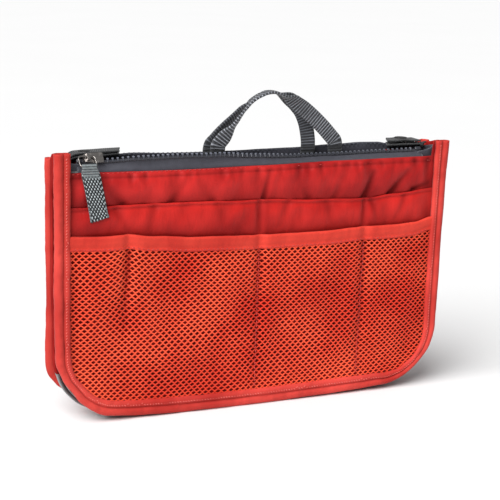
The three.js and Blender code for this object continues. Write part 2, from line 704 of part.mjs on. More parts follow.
function pullRing() {
  const halfWide = RING_WIDTH / 2 - RING_WIRE_RADIUS;
  const radius = RING_CORNER_RADIUS;
  const centres = [
    [halfWide - radius, -radius, Math.PI / 2, 0],
    [halfWide - radius, radius - ringDrop, 0, -Math.PI / 2],
    [radius - halfWide, radius - ringDrop, -Math.PI / 2, -Math.PI],
    [radius - halfWide, -radius, -Math.PI, -1.5 * Math.PI],
  ];
  const path = [];
  for (const [cx, cd, from, to] of centres) {
    for (let i = 0; i <= RING_STEPS_PER_CORNER; i++) {
      const angle = from + (to - from) * i / RING_STEPS_PER_CORNER;
      path.push({ x: cx + radius * Math.cos(angle), d: cd + radius * Math.sin(angle), angle });
    }
  }
  const wire = [];
  for (let i = 0; i < RING_WIRE_SIDES; i++) {
    const angle = 2 * Math.PI * i / RING_WIRE_SIDES;
    wire.push(new THREE.Vector2(Math.cos(angle), Math.sin(angle)).multiplyScalar(RING_WIRE_RADIUS));
  }
  const rings = path.map(({ x, d, angle }) => wire.map(({ x: u, y: v }) => {
    const along = d + u * Math.sin(angle);
    const y = ringPivot[0] + along * Math.cos(hang) - v * Math.sin(hang);
    const z = ringPivot[1] + along * Math.sin(hang) + v * Math.cos(hang);
    return new THREE.Vector3(RING_X + x + u * Math.cos(angle), y, z);
  }));
  return loft(wire, rings, true);
}

// The pull is one webbing strip looped through the ring, its two plies sewn face to face.
function pullWebbing() {
  const inner = RING_WIRE_RADIUS + RUNNING_CLEARANCE;
  const outer = inner + PULL_PLY;
  const section = [];
  const arc = radius => {
    const points = [];
    for (let i = 0; i <= PULL_LOOP_STEPS; i++) {
      const angle = -Math.PI / 6 + (4 * Math.PI / 3) * i / PULL_LOOP_STEPS;
      points.push([radius * Math.cos(angle), radius * Math.sin(angle)]);
    }
    return points;
  };
  const neckDrop = -PULL_NECK_LENGTH / 2;
  section.push([PULL_PLY, -PULL_LENGTH], [PULL_PLY, -PULL_NECK_LENGTH], [PULL_PLY, neckDrop - PULL_PLY]);
  section.push(...arc(outer));
  section.push([-PULL_PLY, neckDrop - PULL_PLY], [-PULL_PLY, -PULL_NECK_LENGTH], [-PULL_PLY, -PULL_LENGTH]);
  const hole = arc(inner);
  hole.push([0, neckDrop]);
  const shape = new THREE.Shape(section.map(([y, z]) => new THREE.Vector2(y, z)));
  shape.holes.push(new THREE.Path(hole.map(([y, z]) => new THREE.Vector2(y, z))));
  const geometry = new THREE.ExtrudeGeometry(shape, { depth: 1, bevelEnabled: false });
  geometry.deleteAttribute('normal');
  geometry.deleteAttribute('uv');
  const merged = mergeVertices(geometry);
  const position = merged.attributes.position;
  const tilt = Math.tan(THREE.MathUtils.degToRad(PULL_TILT));
  const points = [];
  for (let i = 0; i < position.count; i++) {
    const z = position.getY(i);
    const width = z < -PULL_NECK_LENGTH + LAYER_GAP ? PULL_WIDTH : PULL_NECK_WIDTH;
    const x = RING_X + (position.getZ(i) - 1 / 2) * width - z * tilt;
    points.push(x, pullPivot[0] + position.getX(i), pullPivot[1] + z);
  }
  return finishGeometry(points, Array.from(merged.index.array));
}

// Handles: the sewn ends lie on the lining and lean to the mouth, where the loop starts.
const LEG_TOP_Z = BODY_HEIGHT - HANDLE_FOLD_DROP;

function handleRoot(side, x, legY) {
  const half = WEBBING_THICKNESS / 2;
  const top = LEG_TOP_Z - LAYER_GAP;
  const neck = top - ROOT_NECK;
  const bend = neck - ROOT_RISE;
  const sewn = bend - ROOT_SEWN_LENGTH;
  const rest = LINING_INSET + LINING_THICKNESS + LAYER_GAP + half;
  const face = offset => [
    [wallY(side, sewn, rest) + offset, sewn],
    [wallY(side, bend, rest) + offset, bend],
    [legY + offset, neck],
    [legY + offset, top],
  ];
  const section = [...face(-half), ...face(half).reverse()];
  return barAlongX(section, x - WEBBING_WIDTH / 2, x + WEBBING_WIDTH / 2);
}

function handleLoop({ left, right, rise, lean, legY, shares, twist }) {
  const points = shares.map(([along, up]) => new THREE.Vector3(
    left + (right - left) * along,
    legY + lean * up,
    LEG_TOP_Z + rise * up,
  ));
  const curve = new THREE.CatmullRomCurve3(points, false, 'centripetal');
  const half = WEBBING_WIDTH / 2;
  const thick = WEBBING_THICKNESS / 2;
  const cut = WEBBING_EDGE_CHAMFER;
  const profile = [
    [-half, cut - thick], [cut - half, -thick], [half - cut, -thick], [half, cut - thick],
    [half, thick - cut], [half - cut, thick], [cut - half, thick], [-half, thick - cut],
  ].map(([u, v]) => new THREE.Vector2(u, v));
  const facing = new THREE.Vector3(0, -1, 0);
  const rings = [];
  for (let i = 0; i <= HANDLE_STEPS; i++) {
    const share = i / HANDLE_STEPS;
    const centre = curve.getPointAt(share);
    const tangent = curve.getTangentAt(share);
    if (share === 0) tangent.set(0, 0, 1);
    if (share === 1) tangent.set(0, 0, -1);
    const turned = THREE.MathUtils.smoothstep(share, twist[0], twist[1])
      - THREE.MathUtils.smoothstep(share, twist[2], twist[3]);
    const flat = facing.clone().addScaledVector(tangent, -facing.dot(tangent)).normalize();
    const outward = new THREE.Vector3().crossVectors(tangent, flat).negate();
    const normal = flat.multiplyScalar(Math.cos(Math.PI / 2 * turned))
      .addScaledVector(outward, -Math.sin(Math.PI / 2 * turned)).normalize();
    const width = new THREE.Vector3().crossVectors(normal, tangent).normalize();
    const place = ({ x: u, y: v }) => centre.clone().addScaledVector(width, u).addScaledVector(normal, v);
    rings.push(profile.map(place));
  }
  return loft(profile, rings);
}

// Snap straps: a short strap lies on each end of the back chain and a longer one snaps to it.
const STRAP_ROOT_X = BINDING_EDGE_X - STRAP_ROOT_CLEARANCE;
const STRAP_Z = BODY_HEIGHT - STRAP_LEVEL_DROP;
const STRAP_FAR_Y = wallY(BACK, STRAP_Z, STRAP_BACK_CLEARANCE);
const SNAP_X = STRAP_ROOT_X - STRAP_LENGTH + SNAP_END_DISTANCE;
const SNAP_Y = STRAP_FAR_Y - STRAP_WIDTH / 2;
const STUD_Z = STRAP_Z + STRAP_THICKNESS + LAYER_GAP;
const SOCKET_Z = STUD_Z + SNAP_STUD_HEIGHT + LAYER_GAP;
const UPPER_STRAP_Z = SOCKET_Z + SNAP_SOCKET_HEIGHT + LAYER_GAP;
const CAP_Z = UPPER_STRAP_Z + STRAP_THICKNESS + LAYER_GAP;

function strap(end, z) {
  const tip = STRAP_ROOT_X - STRAP_LENGTH;
  const corner = STRAP_CORNER_CUT;
  const near = STRAP_FAR_Y - STRAP_WIDTH;
  const outline = new THREE.Shape([
    new THREE.Vector2(end * STRAP_ROOT_X, near),
    new THREE.Vector2(end * (tip + corner), near),
    new THREE.Vector2(end * tip, near + corner),
    new THREE.Vector2(end * tip, STRAP_FAR_Y - corner),
    new THREE.Vector2(end * (tip + corner), STRAP_FAR_Y),
    new THREE.Vector2(end * STRAP_ROOT_X, STRAP_FAR_Y),
  ]);
  const geometry = new THREE.ExtrudeGeometry(outline, { depth: STRAP_THICKNESS, bevelEnabled: false });
  return geometry.translate(0, 0, z);
}

function lathe(profile) {
  const points = profile.map(([r, z]) => new THREE.Vector2(r, z));
  const geometry = new THREE.LatheGeometry(points, SNAP_SEGMENTS);
  return geometry.rotateX(Math.PI / 2);
}

function snapCap() {
  const rim = SNAP_CAP_HEIGHT * SNAP_CAP_RIM_SHARE;
  const dome = SNAP_CAP_HEIGHT - rim;
  const points = [[0, 0], [SNAP_CAP_RADIUS - rim, 0], [SNAP_CAP_RADIUS, rim]];
  for (let i = 1; i < SNAP_DOME_STEPS; i++) {
    const angle = Math.PI / 2 * i / SNAP_DOME_STEPS;
    points.push([SNAP_CAP_RADIUS * Math.cos(angle), rim + dome * Math.sin(angle)]);
  }
  points.push([0, SNAP_CAP_HEIGHT]);
  return lathe(points);
}

function snapDisc(height, lip) {
  return lathe([
    [0, 0], [SNAP_DISC_RADIUS, 0], [SNAP_DISC_RADIUS, height * lip],
    [SNAP_DISC_RADIUS - height * lip, height], [0, height],
  ]);
}

// A flat pocket sewn to the back lining
function innerPocket() {
  const inset = LINING_INSET + LINING_THICKNESS + LAYER_GAP;
  const section = [
    [wallY(BACK, INNER_POCKET_BASE, inset), INNER_POCKET_BASE],
    [wallY(BACK, INNER_POCKET_TOP, inset), INNER_POCKET_TOP],
    [wallY(BACK, INNER_POCKET_TOP, inset + POCKET_CLOTH_THICKNESS), INNER_POCKET_TOP],
    [wallY(BACK, INNER_POCKET_BASE, inset + POCKET_CLOTH_THICKNESS), INNER_POCKET_BASE],
  ];
  return barAlongX(section, -INNER_POCKET_WIDTH / 2, INNER_POCKET_WIDTH / 2);
}

// Pleated band: two end gussets and the base between seams in the lower corners
const bandTop = BODY_HEIGHT - GUSSET_TOP_DROP;
const leftSeam = 1 + BASE_SEAM_SHARE;
const rightSeam = 4 - BASE_SEAM_SHARE;
function bandPiece(from, to) {
  const stations = outlineStations(from, to, bandTop);
  const seamGap = (station, sign) => ({
    ...station,
    x: station.x - sign * station.nz * LAYER_GAP / 2,
    z: station.z + sign * station.nx * LAYER_GAP / 2,
  });
  if (from > 0) stations[0] = seamGap(stations[0], -1);
  if (to < 5) stations[stations.length - 1] = seamGap(stations[stations.length - 1], 1);
  return sweepOutline(bandSection(), stations);
}

// The folded part of an end stops under the zip tape that leans over it.
function gusset(from, to) {
  const foldTop = TAPE_BEND_Z;
  const inner = HALF_WIDTH - BAND_INSET_S - GUSSET_THICKNESS - LAYER_GAP;
  const cutter = new THREE.BoxGeometry(2 * inner, BODY_WIDTH, BODY_HEIGHT);
  cutter.translate(0, 0, foldTop + BODY_HEIGHT / 2);
  return fromManifold(toManifold(bandPiece(from, to)).subtract(toManifold(cutter)));
}

const group = new THREE.Group();
const assembly = new THREE.Group();
group.add(assembly);

function add(name, geometry, look, position = [0, 0, 0]) {
  const mesh = new THREE.Mesh(geometry, new THREE.MeshStandardMaterial(look));
  mesh.name = name;
  mesh.position.set(...position);
  assembly.add(mesh);
}

// Front wall
add('front_panel', wallSheet(FRONT, SHELL_INSET, SHELL_THICKNESS), RED_CLOTH);
add('front_foam', foamSheet(FRONT), FOAM);
add('front_lining', wallSheet(FRONT, LINING_INSET, LINING_THICKNESS), GREY_CLOTH);
add('front_slip_pocket', pocketSheet(FRONT, SLIP_POCKET_HEIGHT, POCKET_SEAM_X), RED_CLOTH);
add('mesh_pocket', meshNet(), RED_MESH);
add('mesh_pocket_hem', meshHem(), RED_BINDING);
add('front_binding', sweepOutline(bindingSection(FRONT), outlineStations(0, 5, BODY_HEIGHT)), RED_BINDING);

// Back wall
add('back_panel', wallSheet(BACK, SHELL_INSET, SHELL_THICKNESS), RED_CLOTH);
add('back_foam', foamSheet(BACK), FOAM);
add('back_lining', wallSheet(BACK, LINING_INSET, LINING_THICKNESS), GREY_CLOTH);
add('back_slip_pocket', pocketSheet(BACK, BACK_POCKET_HEIGHT, BACK_POCKET_SEAM_X), RED_CLOTH);
add('back_binding', sweepOutline(bindingSection(BACK), outlineStations(0, 5, BODY_HEIGHT)), RED_BINDING);

add('inner_pocket', innerPocket(), GREY_CLOTH);

// Pleated band
add('left_gusset', gusset(0, leftSeam), RED_CLOTH);
add('base_strip', bandPiece(leftSeam, rightSeam), GREY_CLOTH);
add('right_gusset', gusset(rightSeam, 5), RED_CLOTH);

// Zip
add('front_zip_tape', zipTape(FRONT), DARK_TAPE);
add('back_zip_tape', zipTape(BACK), DARK_TAPE);
add('front_zip_teeth', toothRow(FRONT), DARK_PLASTIC);
add('back_zip_teeth', toothRow(BACK), DARK_PLASTIC);
add('front_bottom_stop', zipStop(FRONT, -1), DARK_PLASTIC);
add('back_bottom_stop', zipStop(BACK, -1), DARK_PLASTIC);
add('front_top_stop', zipStop(FRONT, 1), DARK_PLASTIC);
add('back_top_stop', zipStop(BACK, 1), DARK_PLASTIC);
add('zip_slider', sliderBody(), DARK_METAL);
add('pull_ring', pullRing(), DARK_METAL);
add('webbing_pull', pullWebbing(), DARK_TAPE);

// Handles
const handles = [
  {
    name: 'front',
    side: FRONT,
    left: FRONT_HANDLE_LEFT_X,
    right: FRONT_HANDLE_RIGHT_X,
    rise: FRONT_HANDLE_RISE,
    lean: FRONT_HANDLE_LEAN,
    legY: FRONT_LEG_Y,
    shares: FRONT_ARCH_SHARES,
    twist: FRONT_TWIST_SHARES,
  },
  {
    name: 'back',
    side: BACK,
    left: BACK_HANDLE_LEFT_X,
    right: BACK_HANDLE_RIGHT_X,
    rise: BACK_HANDLE_RISE,
    lean: BACK_HANDLE_LEAN,
    legY: BACK_LEG_Y,
    shares: BACK_ARCH_SHARES,
    twist: BACK_TWIST_SHARES,
  },
];
for (const handle of handles) {
  add(`${handle.name}_handle`, handleLoop(handle), DARK_TAPE);
  add(`${handle.name}_handle_left_end`, handleRoot(handle.side, handle.left, handle.legY), DARK_TAPE);
  add(`${handle.name}_handle_right_end`, handleRoot(handle.side, handle.right, handle.legY), DARK_TAPE);
}

// Snap straps
for (const [name, end] of [['left', -1], ['right', 1]]) {
  const x = end * SNAP_X;
  add(`${name}_strap_base`, strap(end, STRAP_Z), DARK_TAPE);
  add(`${name}_snap_strap`, strap(end, UPPER_STRAP_Z), DARK_TAPE);
  add(`${name}_snap_stud`, snapDisc(SNAP_STUD_HEIGHT, SNAP_LIP_SHARE), DARK_METAL, [x, SNAP_Y, STUD_Z]);
  add(`${name}_snap_socket`, snapDisc(SNAP_SOCKET_HEIGHT, SNAP_LIP_SHARE), DARK_METAL, [x, SNAP_Y, SOCKET_Z]);
  add(`${name}_snap_cap`, snapCap(), DARK_METAL, [x, SNAP_Y, CAP_Z]);
}

// The pull stands proud of the front, so the box's middle lies off the seam plane.
const box = new THREE.Box3().setFromObject(assembly);
assembly.position.set(-(box.min.x + box.max.x) / 2, -(box.min.y + box.max.y) / 2, -box.min.z);

export default group;
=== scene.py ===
import math

import bmesh
import bpy
from mathutils import Matrix, Vector, noise
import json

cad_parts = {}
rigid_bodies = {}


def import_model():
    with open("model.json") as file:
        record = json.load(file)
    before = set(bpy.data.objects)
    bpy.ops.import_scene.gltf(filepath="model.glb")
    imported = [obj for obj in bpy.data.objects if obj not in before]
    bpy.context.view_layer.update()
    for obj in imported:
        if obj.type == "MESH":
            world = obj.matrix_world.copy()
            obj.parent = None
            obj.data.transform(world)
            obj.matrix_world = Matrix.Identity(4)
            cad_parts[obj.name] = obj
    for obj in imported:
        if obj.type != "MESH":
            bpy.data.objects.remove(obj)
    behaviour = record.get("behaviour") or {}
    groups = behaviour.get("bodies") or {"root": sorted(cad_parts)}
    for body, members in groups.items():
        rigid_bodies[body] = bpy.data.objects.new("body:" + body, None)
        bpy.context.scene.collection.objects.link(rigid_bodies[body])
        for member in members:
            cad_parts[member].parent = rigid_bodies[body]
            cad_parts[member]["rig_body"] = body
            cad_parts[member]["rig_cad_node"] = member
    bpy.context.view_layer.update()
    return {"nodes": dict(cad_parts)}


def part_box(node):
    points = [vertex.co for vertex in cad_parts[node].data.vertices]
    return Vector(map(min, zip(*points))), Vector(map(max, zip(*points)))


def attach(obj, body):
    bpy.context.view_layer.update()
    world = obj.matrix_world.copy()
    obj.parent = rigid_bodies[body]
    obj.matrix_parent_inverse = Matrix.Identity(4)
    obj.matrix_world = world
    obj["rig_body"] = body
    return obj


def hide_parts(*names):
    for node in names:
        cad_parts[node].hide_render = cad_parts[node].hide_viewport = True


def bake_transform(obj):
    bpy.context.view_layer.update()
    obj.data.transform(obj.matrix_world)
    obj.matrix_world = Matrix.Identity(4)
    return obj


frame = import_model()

# Lengths in this script are in millimetres, and a mesh is scaled to metres as its points are set.
MM = 0.001
FRONT, BACK = -1, 1
LEFT, RIGHT = -1, 1
SIDES = {FRONT: "front", BACK: "back"}
ENDS = {LEFT: "left", RIGHT: "right"}


def corners(node):
    """Lowest and highest corner of a frame node, in millimetres."""
    low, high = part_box(node)
    return low / MM, high / MM


# Sizes read from the frame
BINDING_LOW, BINDING_HIGH = corners("front_binding")
HALF_WIDTH = BINDING_HIGH.x
BODY_HEIGHT = BINDING_HIGH.z
MID_Y = (BINDING_LOW.y + corners("back_binding")[1].y) / 2
TAPE_FOOT = 7.0
WALL_TOP = corners("front_zip_tape")[0].z + TAPE_FOOT

# Sizes of the sewn body
BASE_DEPTH = 24.5
MOUTH_DEPTH = 27.0
CORNER_RADIUS = 40.0
BINDING_WIDTH = 9.0
BINDING_DEPTH = 5.4
SEAM_INSET = 5.2
SEAM_HALF = HALF_WIDTH - SEAM_INSET

# Insets of the layers from the binding's outer face
NET_INSET = 1.3
SLIP_INSET = 2.3
SHELL_INSET = 3.0
LINING_INSET = 5.2
INNER_POCKET_INSET = 5.9
BAND_INSET = 5.9
FOLD_INSET = 6.7


def depth_at(z):
    return BASE_DEPTH + (MOUTH_DEPTH - BASE_DEPTH) * z / BODY_HEIGHT


def wall_y(side, z, inset):
    return MID_Y + side * (depth_at(z) / 2 - inset)


def outline_base(x, inset):
    """Height of the rounded lower outline at x, for an outline drawn in by inset."""
    radius = CORNER_RADIUS - inset
    across = abs(x) - (HALF_WIDTH - CORNER_RADIUS)
    if across <= 0:
        return inset
    return CORNER_RADIUS - math.sqrt(max(0.0, radius * radius - across * across))


def smooth(low, high, value):
    share = min(1.0, max(0.0, (value - low) / (high - low)))
    return share * share * (3 - 2 * share)


def through(points, x):
    """A smooth line through a few (x, value) points, level beyond its ends."""
    if x <= points[0][0]:
        return points[0][1]
    for (x0, y0), (x1, y1) in zip(points, points[1:]):
        if x <= x1:
            share = (x - x0) / (x1 - x0)
            share = share * share * (3 - 2 * share)
            return y0 + (y1 - y0) * share
    return points[-1][1]


def ripple(x, z, seed, size_x, size_z):
    """Smooth noise from -1 to 1 with its own scale along and up the cloth."""
    return noise.noise(Vector((x / size_x, z / size_z, seed)))


def hump(away, width):
    """1 on a line, falling to 0 a few widths away from it."""
    return math.exp(-(away / width) ** 2)


def pinch(x, stops, width):
    """1 at a sewn line and 0 away from it."""
    return max(hump(x - stop, width) for stop in stops)


def pad(share, peak):
    """Section of a sewn pad: 0 at its two seams and 1 at its fullest, at the share peak."""
    share = min(1.0, max(0.0, share))
    return math.sin(math.pi * share ** (math.log(0.5) / math.log(peak)))


def room(x):
    """How far x lies inside the binding."""
    return HALF_WIDTH - BINDING_WIDTH - abs(x)


CREASE_TAPER = 0.55


def hollow(x, z, fold):
    """Depth of one crease: (x0, z0, x1, z1, half width, depth), shallower towards its second end."""
    x0, z0, x1, z1, width, depth = fold
    run = Vector((x1 - x0, z1 - z0))
    away = Vector((x - x0, z - z0))
    share = min(1.0, max(0.0, away.dot(run) / run.length_squared))
    return depth * (1 - CREASE_TAPER * share) * hump((away - run * share).length, width)


# The lower edge's slack curve, which fades out between two heights
SAG_DEPTH = 4.5
SAG_MIDDLE = -5
SAG_REACH = {LEFT: 117, RIGHT: 133}
SAG_POWER = 2.4
SAG_FADES = (70, 4)
# How the back wall's top corners droop: depth, then where along x and across the depth it sets in and is full
DROOPS = ((6.0, (-121, -134), (-7, 7)), (2.6, (127.5, 130.5), (-5, 8)))
DROOP_RISE = (146, 174)


def sag(x):
    """How far the lower edge hangs below its corners."""
    reach = SAG_REACH[LEFT if x < SAG_MIDDLE else RIGHT]
    return SAG_DEPTH * max(0.0, 1 - (abs(x - SAG_MIDDLE) / reach) ** SAG_POWER)


def settle(piece):
    """Lets the lower edge hang in a slack curve and the back wall's top corners droop."""
    for vertex in piece.data.vertices:
        x, y, z = vertex.co / MM
        drop = sag(x) * smooth(*SAG_FADES, z)
        top = smooth(*DROOP_RISE, z)
        for depth, along, across in DROOPS:
            drop += top * depth * smooth(*along, x) * smooth(*across, y - MID_Y)
        vertex.co.z -= drop * MM
    return piece


# Mesh making


def deselect():
    bpy.ops.object.select_all(action="DESELECT")


def apply_modifiers(piece, *modifiers):
    deselect()
    piece.select_set(True)
    bpy.context.view_layer.objects.active = piece
    for kind, settings in modifiers:
        modifier = piece.modifiers.new(kind.title(), kind)
        for key, value in settings.items():
            setattr(modifier, key, value)
        bpy.ops.object.modifier_apply(modifier=modifier.name)
    return piece


def start(add, **settings):
    """A new primitive, alone in the selection."""
    deselect()
    add(**settings)
    return bpy.context.object


def open_mesh(action):
    """Edit mode on the active piece, by faces, with all or none of them selected."""
    bpy.ops.object.mode_set(mode="EDIT")
    bpy.ops.mesh.select_mode(type="FACE")
    bpy.ops.mesh.select_all(action=action)
    return bmesh.from_edit_mesh(bpy.context.object.data)


def close_mesh():
    bpy.ops.object.mode_set(mode="OBJECT")


def label(piece, name):
    """The piece, with its mesh named like itself."""
    piece.name = piece.data.name = name
    return piece


def mark(piece, name, values):
    """One value for each point of a piece, for its material to read."""
    piece.data.attributes.new(name, "FLOAT", "POINT").data.foreach_set("value", values)


def shaded(piece, soft=True):
    """The piece, shaded soft or faceted all over."""
    for polygon in piece.data.polygons:
        polygon.use_smooth = soft
    return piece


def cloth(name, across, up, place, wide, high, thickness):
    """A grid sheet set point by point, then given its thickness. wide and high scale its UV map to mm.

    place gives x, y, z and, where the cloth is creased, its painted shade: 1 for none, or towards 0 deep in a fold."""
    piece = start(bpy.ops.mesh.primitive_grid_add, x_subdivisions=across, y_subdivisions=up, size=1)
    label(piece, name)
    spots = [(v.co.x + 0.5, v.co.y + 0.5) for v in piece.data.vertices]
    layer = piece.data.uv_layers[0]
    for loop in piece.data.loops:
        u, v = spots[loop.vertex_index]
        layer.data[loop.index].uv = (u * wide, v * high)
    shades = []
    for vertex, (u, v) in zip(piece.data.vertices, spots):
        x, y, z, *shade = place(u, v)
        vertex.co = Vector((x, y, z)) * MM
        shades.append(shade[0] if shade else 1.0)
    # The fold attribute carries the painted shade that the nylon materials darken by
    mark(piece, "fold", shades)
    apply_modifiers(piece, ("SOLIDIFY", {"thickness": thickness * MM, "offset": -1, "use_even_offset": False}))
    return shaded(piece)


def join(name, pieces):
    deselect()
    for piece in pieces:
        piece.select_set(True)
    bpy.context.view_layer.objects.active = pieces[0]
    bpy.ops.object.join()
    return label(bpy.context.view_layer.objects.active, name)


def dress(piece, body, material, slot, *nodes):
    """Gives a piece its material and body, and hides the nodes that it stands for."""
    settle(piece)
    piece.data.materials.clear()
    piece.data.materials.append(material)
    if nodes:
        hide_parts(*nodes)
    if body:
        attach(piece, body)
    return piece


# Shader maths


class Term:
    """A shader socket whose Python operators add Math nodes."""

    def __init__(self, paint, socket):
        self.paint = paint
        self.socket = socket

    def math(self, operation, *others):
        values = dict(enumerate((self,) + others))
        return self.paint.node("Math", {"operation": operation}, values)

    def __add__(self, other):
        return self.math("ADD", other)

    def __radd__(self, other):
        return self.math("ADD", other)

    def __sub__(self, other):
        return self.math("SUBTRACT", other)

    def __rsub__(self, other):
        return self.paint.number(other).math("SUBTRACT", self)

    def __mul__(self, other):
        return self.math("MULTIPLY", other)

    def __rmul__(self, other):
        return self.math("MULTIPLY", other)

    def __truediv__(self, other):
        return self.math("DIVIDE", other)

    def __pow__(self, other):
        return self.math("POWER", other)

    def sine(self):
        return self.math("SINE")

    def wave(self):
        """Its sine, brought to 0 to 1."""
        return self.sine() * 0.5 + 0.5

    def size(self):
        return self.math("ABSOLUTE")

    def between(self, low, high):
        return self.paint.node(
            "MapRange", {"interpolation_type": "SMOOTHSTEP"}, {"Value": self, "From Min": low, "From Max": high}
        )


class Paint:
    """One procedural material."""

    def __init__(self, name):
        self.material = bpy.data.materials.new(name)
        self.material.use_nodes = True
        self.tree = self.material.node_tree
        self.tree.nodes.clear()
        self.shader = self.tree.nodes.new("ShaderNodeBsdfPrincipled")
        output = self.tree.nodes.new("ShaderNodeOutputMaterial")
        self.tree.links.new(self.shader.outputs[0], output.inputs["Surface"])
        self.height = None

    def node(self, kind, settings=None, values=None, output=0):
        made = self.tree.nodes.new("ShaderNode" + kind)
        for key, value in (settings or {}).items():
            setattr(made, key, value)
        for key, value in (values or {}).items():
            if isinstance(value, Term):
                self.tree.links.new(value.socket, made.inputs[key])
            else:
                made.inputs[key].default_value = value
        return Term(self, made.outputs[output])

    def number(self, value):
        return self.node("Math", {"operation": "ADD"}, {0: value, 1: 0.0})

    def spot(self, source="Object"):
        return self.node("TexCoord", output=source)

    def axes(self, source="Object"):
        """The three coordinates, in millimetres for Object and as laid out for UV."""
        split = self.tree.nodes.new("ShaderNodeSeparateXYZ")
        self.tree.links.new(self.spot(source).socket, split.inputs[0])
        found = [Term(self, split.outputs[i]) for i in range(3)]
        return [value / MM for value in found] if source == "Object" else found

    def stretched(self, source, scale):
        return self.node("Mapping", {}, {"Vector": self.spot(source), "Scale": scale})

    def noise(self, scale, detail=2.0, source="Object", stretch=(1, 1, 1), rough=0.5):
        return self.node(
            "TexNoise",
            {"noise_dimensions": "3D"},
            {"Vector": self.stretched(source, stretch), "Scale": scale, "Detail": detail, "Roughness": rough},
        )

    def mix(self, share, low, high):
        made = self.tree.nodes.new("ShaderNodeMix")
        made.data_type = "RGBA"
        for key, value in ((0, share), (6, low), (7, high)):
            if isinstance(value, Term):
                self.tree.links.new(value.socket, made.inputs[key])
            elif key == 0:
                made.inputs[key].default_value = value
            else:
                made.inputs[key].default_value = (*value, 1)
        return Term(self, made.outputs[2])

    def bump(self, height, strength, distance):
        values = {"Height": height, "Strength": strength, "Distance": distance * MM}
        if self.height:
            values["Normal"] = self.height
        self.height = self.node("Bump", {}, values)

    def finish(self, colour, roughness, **constants):
        for key, value in (("Base Color", colour), ("Roughness", roughness), ("Normal", self.height)):
            if isinstance(value, Term):
                self.tree.links.new(value.socket, self.shader.inputs[key])
            elif value is not None:
                self.shader.inputs[key].default_value = (*value, 1) if key == "Base Color" else value
        for key, value in constants.items():
            self.shader.inputs[key.replace("_", " ").title().replace("Ior", "IOR")].default_value = value
        return self.material


def linear(red, green, blue):
    """A colour written as 0 to 255 screen values, made linear."""
    def one(value):
        value /= 255
        return value / 12.92 if value <= 0.04045 else ((value + 0.055) / 1.055) ** 2.4
    return (one(red), one(green), one(blue))


def nylon(name, deep, full, sheen, roughness, shine=0.2):
    """Satin nylon: fine plain weave, soft puckers, a slow drift of colour, and painted shade: darker where the fold
    attribute marks creases and recesses.
    """
    paint = Paint(name)
    x, _, z = paint.axes()
    drift = paint.noise(22, 3)
    pucker = paint.noise(120, 3, stretch=(1, 1, 0.4))
    crumple = paint.noise(46, 2, stretch=(1, 1, 0.7))
    weave = ((x * 14).sine() * (z * 14).sine()) * 0.5 + 0.5
    paint.bump(crumple, 0.5, 2.2)
    paint.bump(pucker, 0.75, 1.5)
    paint.bump(weave, 0.12, 0.05)
    colour = paint.mix(drift.between(0.3, 0.72), deep, full)
    colour = paint.mix(weave * 0.12, colour, tuple(min(1, c * 1.5) for c in full))
    # Painted shade: the fold attribute, 1 where clean and towards 0 in creases and shaded places, mixes the colour
    # towards a deep shade red
    fold = paint.node("Attribute", {"attribute_name": "fold"}, output=2)
    colour = paint.mix(fold, (deep[0] * 0.42, deep[1] * 0.16, deep[2] * 0.16), colour)
    rough = roughness + (pucker - 0.5) * 0.25 + (1 - fold) * 0.45
    return paint.finish(colour, rough, sheen_weight=sheen, sheen_roughness=0.45, specular_ior_level=shine)


def ribbed(name, dark, light, pitch, share):
    """Woven webbing on the UV map, in mm: v along the strip, with raised ribs across it."""
    paint = Paint(name)
    u, v, _ = paint.axes("UV")
    rib = (v * (2 * math.pi / pitch)).wave()
    thread = (u * 9.0 + (v * (math.pi / pitch)).sine()).wave()
    fuzz = paint.noise(400, 3)
    worn = paint.noise(34, 2).between(0.3, 0.7) * 0.7 + 0.3
    light_share = (rib ** 4.5) * share * (thread * 0.5 + 0.5) * worn + 0.03
    colour = paint.mix(light_share + (fuzz - 0.5) * 0.15, dark, light)
    paint.bump(rib, 0.9, 0.35)
    paint.bump(thread, 0.4, 0.12)
    paint.bump(fuzz, 0.25, 0.12)
    return paint.finish(colour, 0.72 + (fuzz - 0.5) * 0.2, sheen_weight=0.2, sheen_roughness=0.5)


def checked(name, dark, light, pitch_u, pitch_v, ribs):
    """Pull webbing: small staggered light floats on a dark ground, with close ribs where it is sewn."""
    paint = Paint(name)
    u, v, _ = paint.axes("UV")
    first = (u * (math.pi / pitch_u)).sine()
    second = (v * (math.pi / pitch_v)).sine()
    check = first * second
    fuzz = paint.noise(700, 3)
    blot = paint.noise(160, 2)
    dots = (check + (fuzz - 0.5) * 0.8).between(0.06, 0.6) * (0.5 + blot * 0.9)
    rib = (v * (2 * math.pi / 1.55)).wave()
    sewn = (v + (fuzz - 0.5) * 1.5).between(ribs - 1.5, ribs + 1.5)
    share = dots * (1 - sewn) + (rib * 0.3 + 0.12 + (fuzz - 0.5) * 0.3) * sewn
    colour = paint.mix(share, dark, light)
    paint.bump(check.size() * (1 - sewn) + rib * sewn, 0.9, 0.5)
    paint.bump(fuzz, 0.3, 0.15)
    return paint.finish(colour, 0.75, sheen_weight=0.15, sheen_roughness=0.5, specular_ior_level=0.3)


def tape_weave(name, dark, light):
    """Zip tape: fine herringbone and a soft fuzz."""
    paint = Paint(name)
    x, _, z = paint.axes()
    twill = ((x + z * 1.6) * 5.2).wave()
    fuzz = paint.noise(300, 3)
    colour = paint.mix(twill * 0.35 + fuzz * 0.4, dark, light)
    paint.bump(twill, 0.4, 0.12)
    paint.bump(fuzz, 0.2, 0.1)
    return paint.finish(colour, 0.62 + (fuzz - 0.5) * 0.2, sheen_weight=0.35, sheen_roughness=0.4)


def moulded(name, dark, light):
    """Moulded plastic: dark, with painted highlights on the teeth's heads."""
    paint = Paint(name)
    fuzz = paint.noise(900, 2)
    # Painted highlight: the head attribute lightens each tooth's top
    head = paint.node("Attribute", {"attribute_name": "head"}, output=2)
    colour = paint.mix(head * 0.85 + fuzz * 0.15, dark, light)
    paint.bump(fuzz, 0.15, 0.05)
    return paint.finish(colour, 0.3 + (fuzz - 0.5) * 0.15)


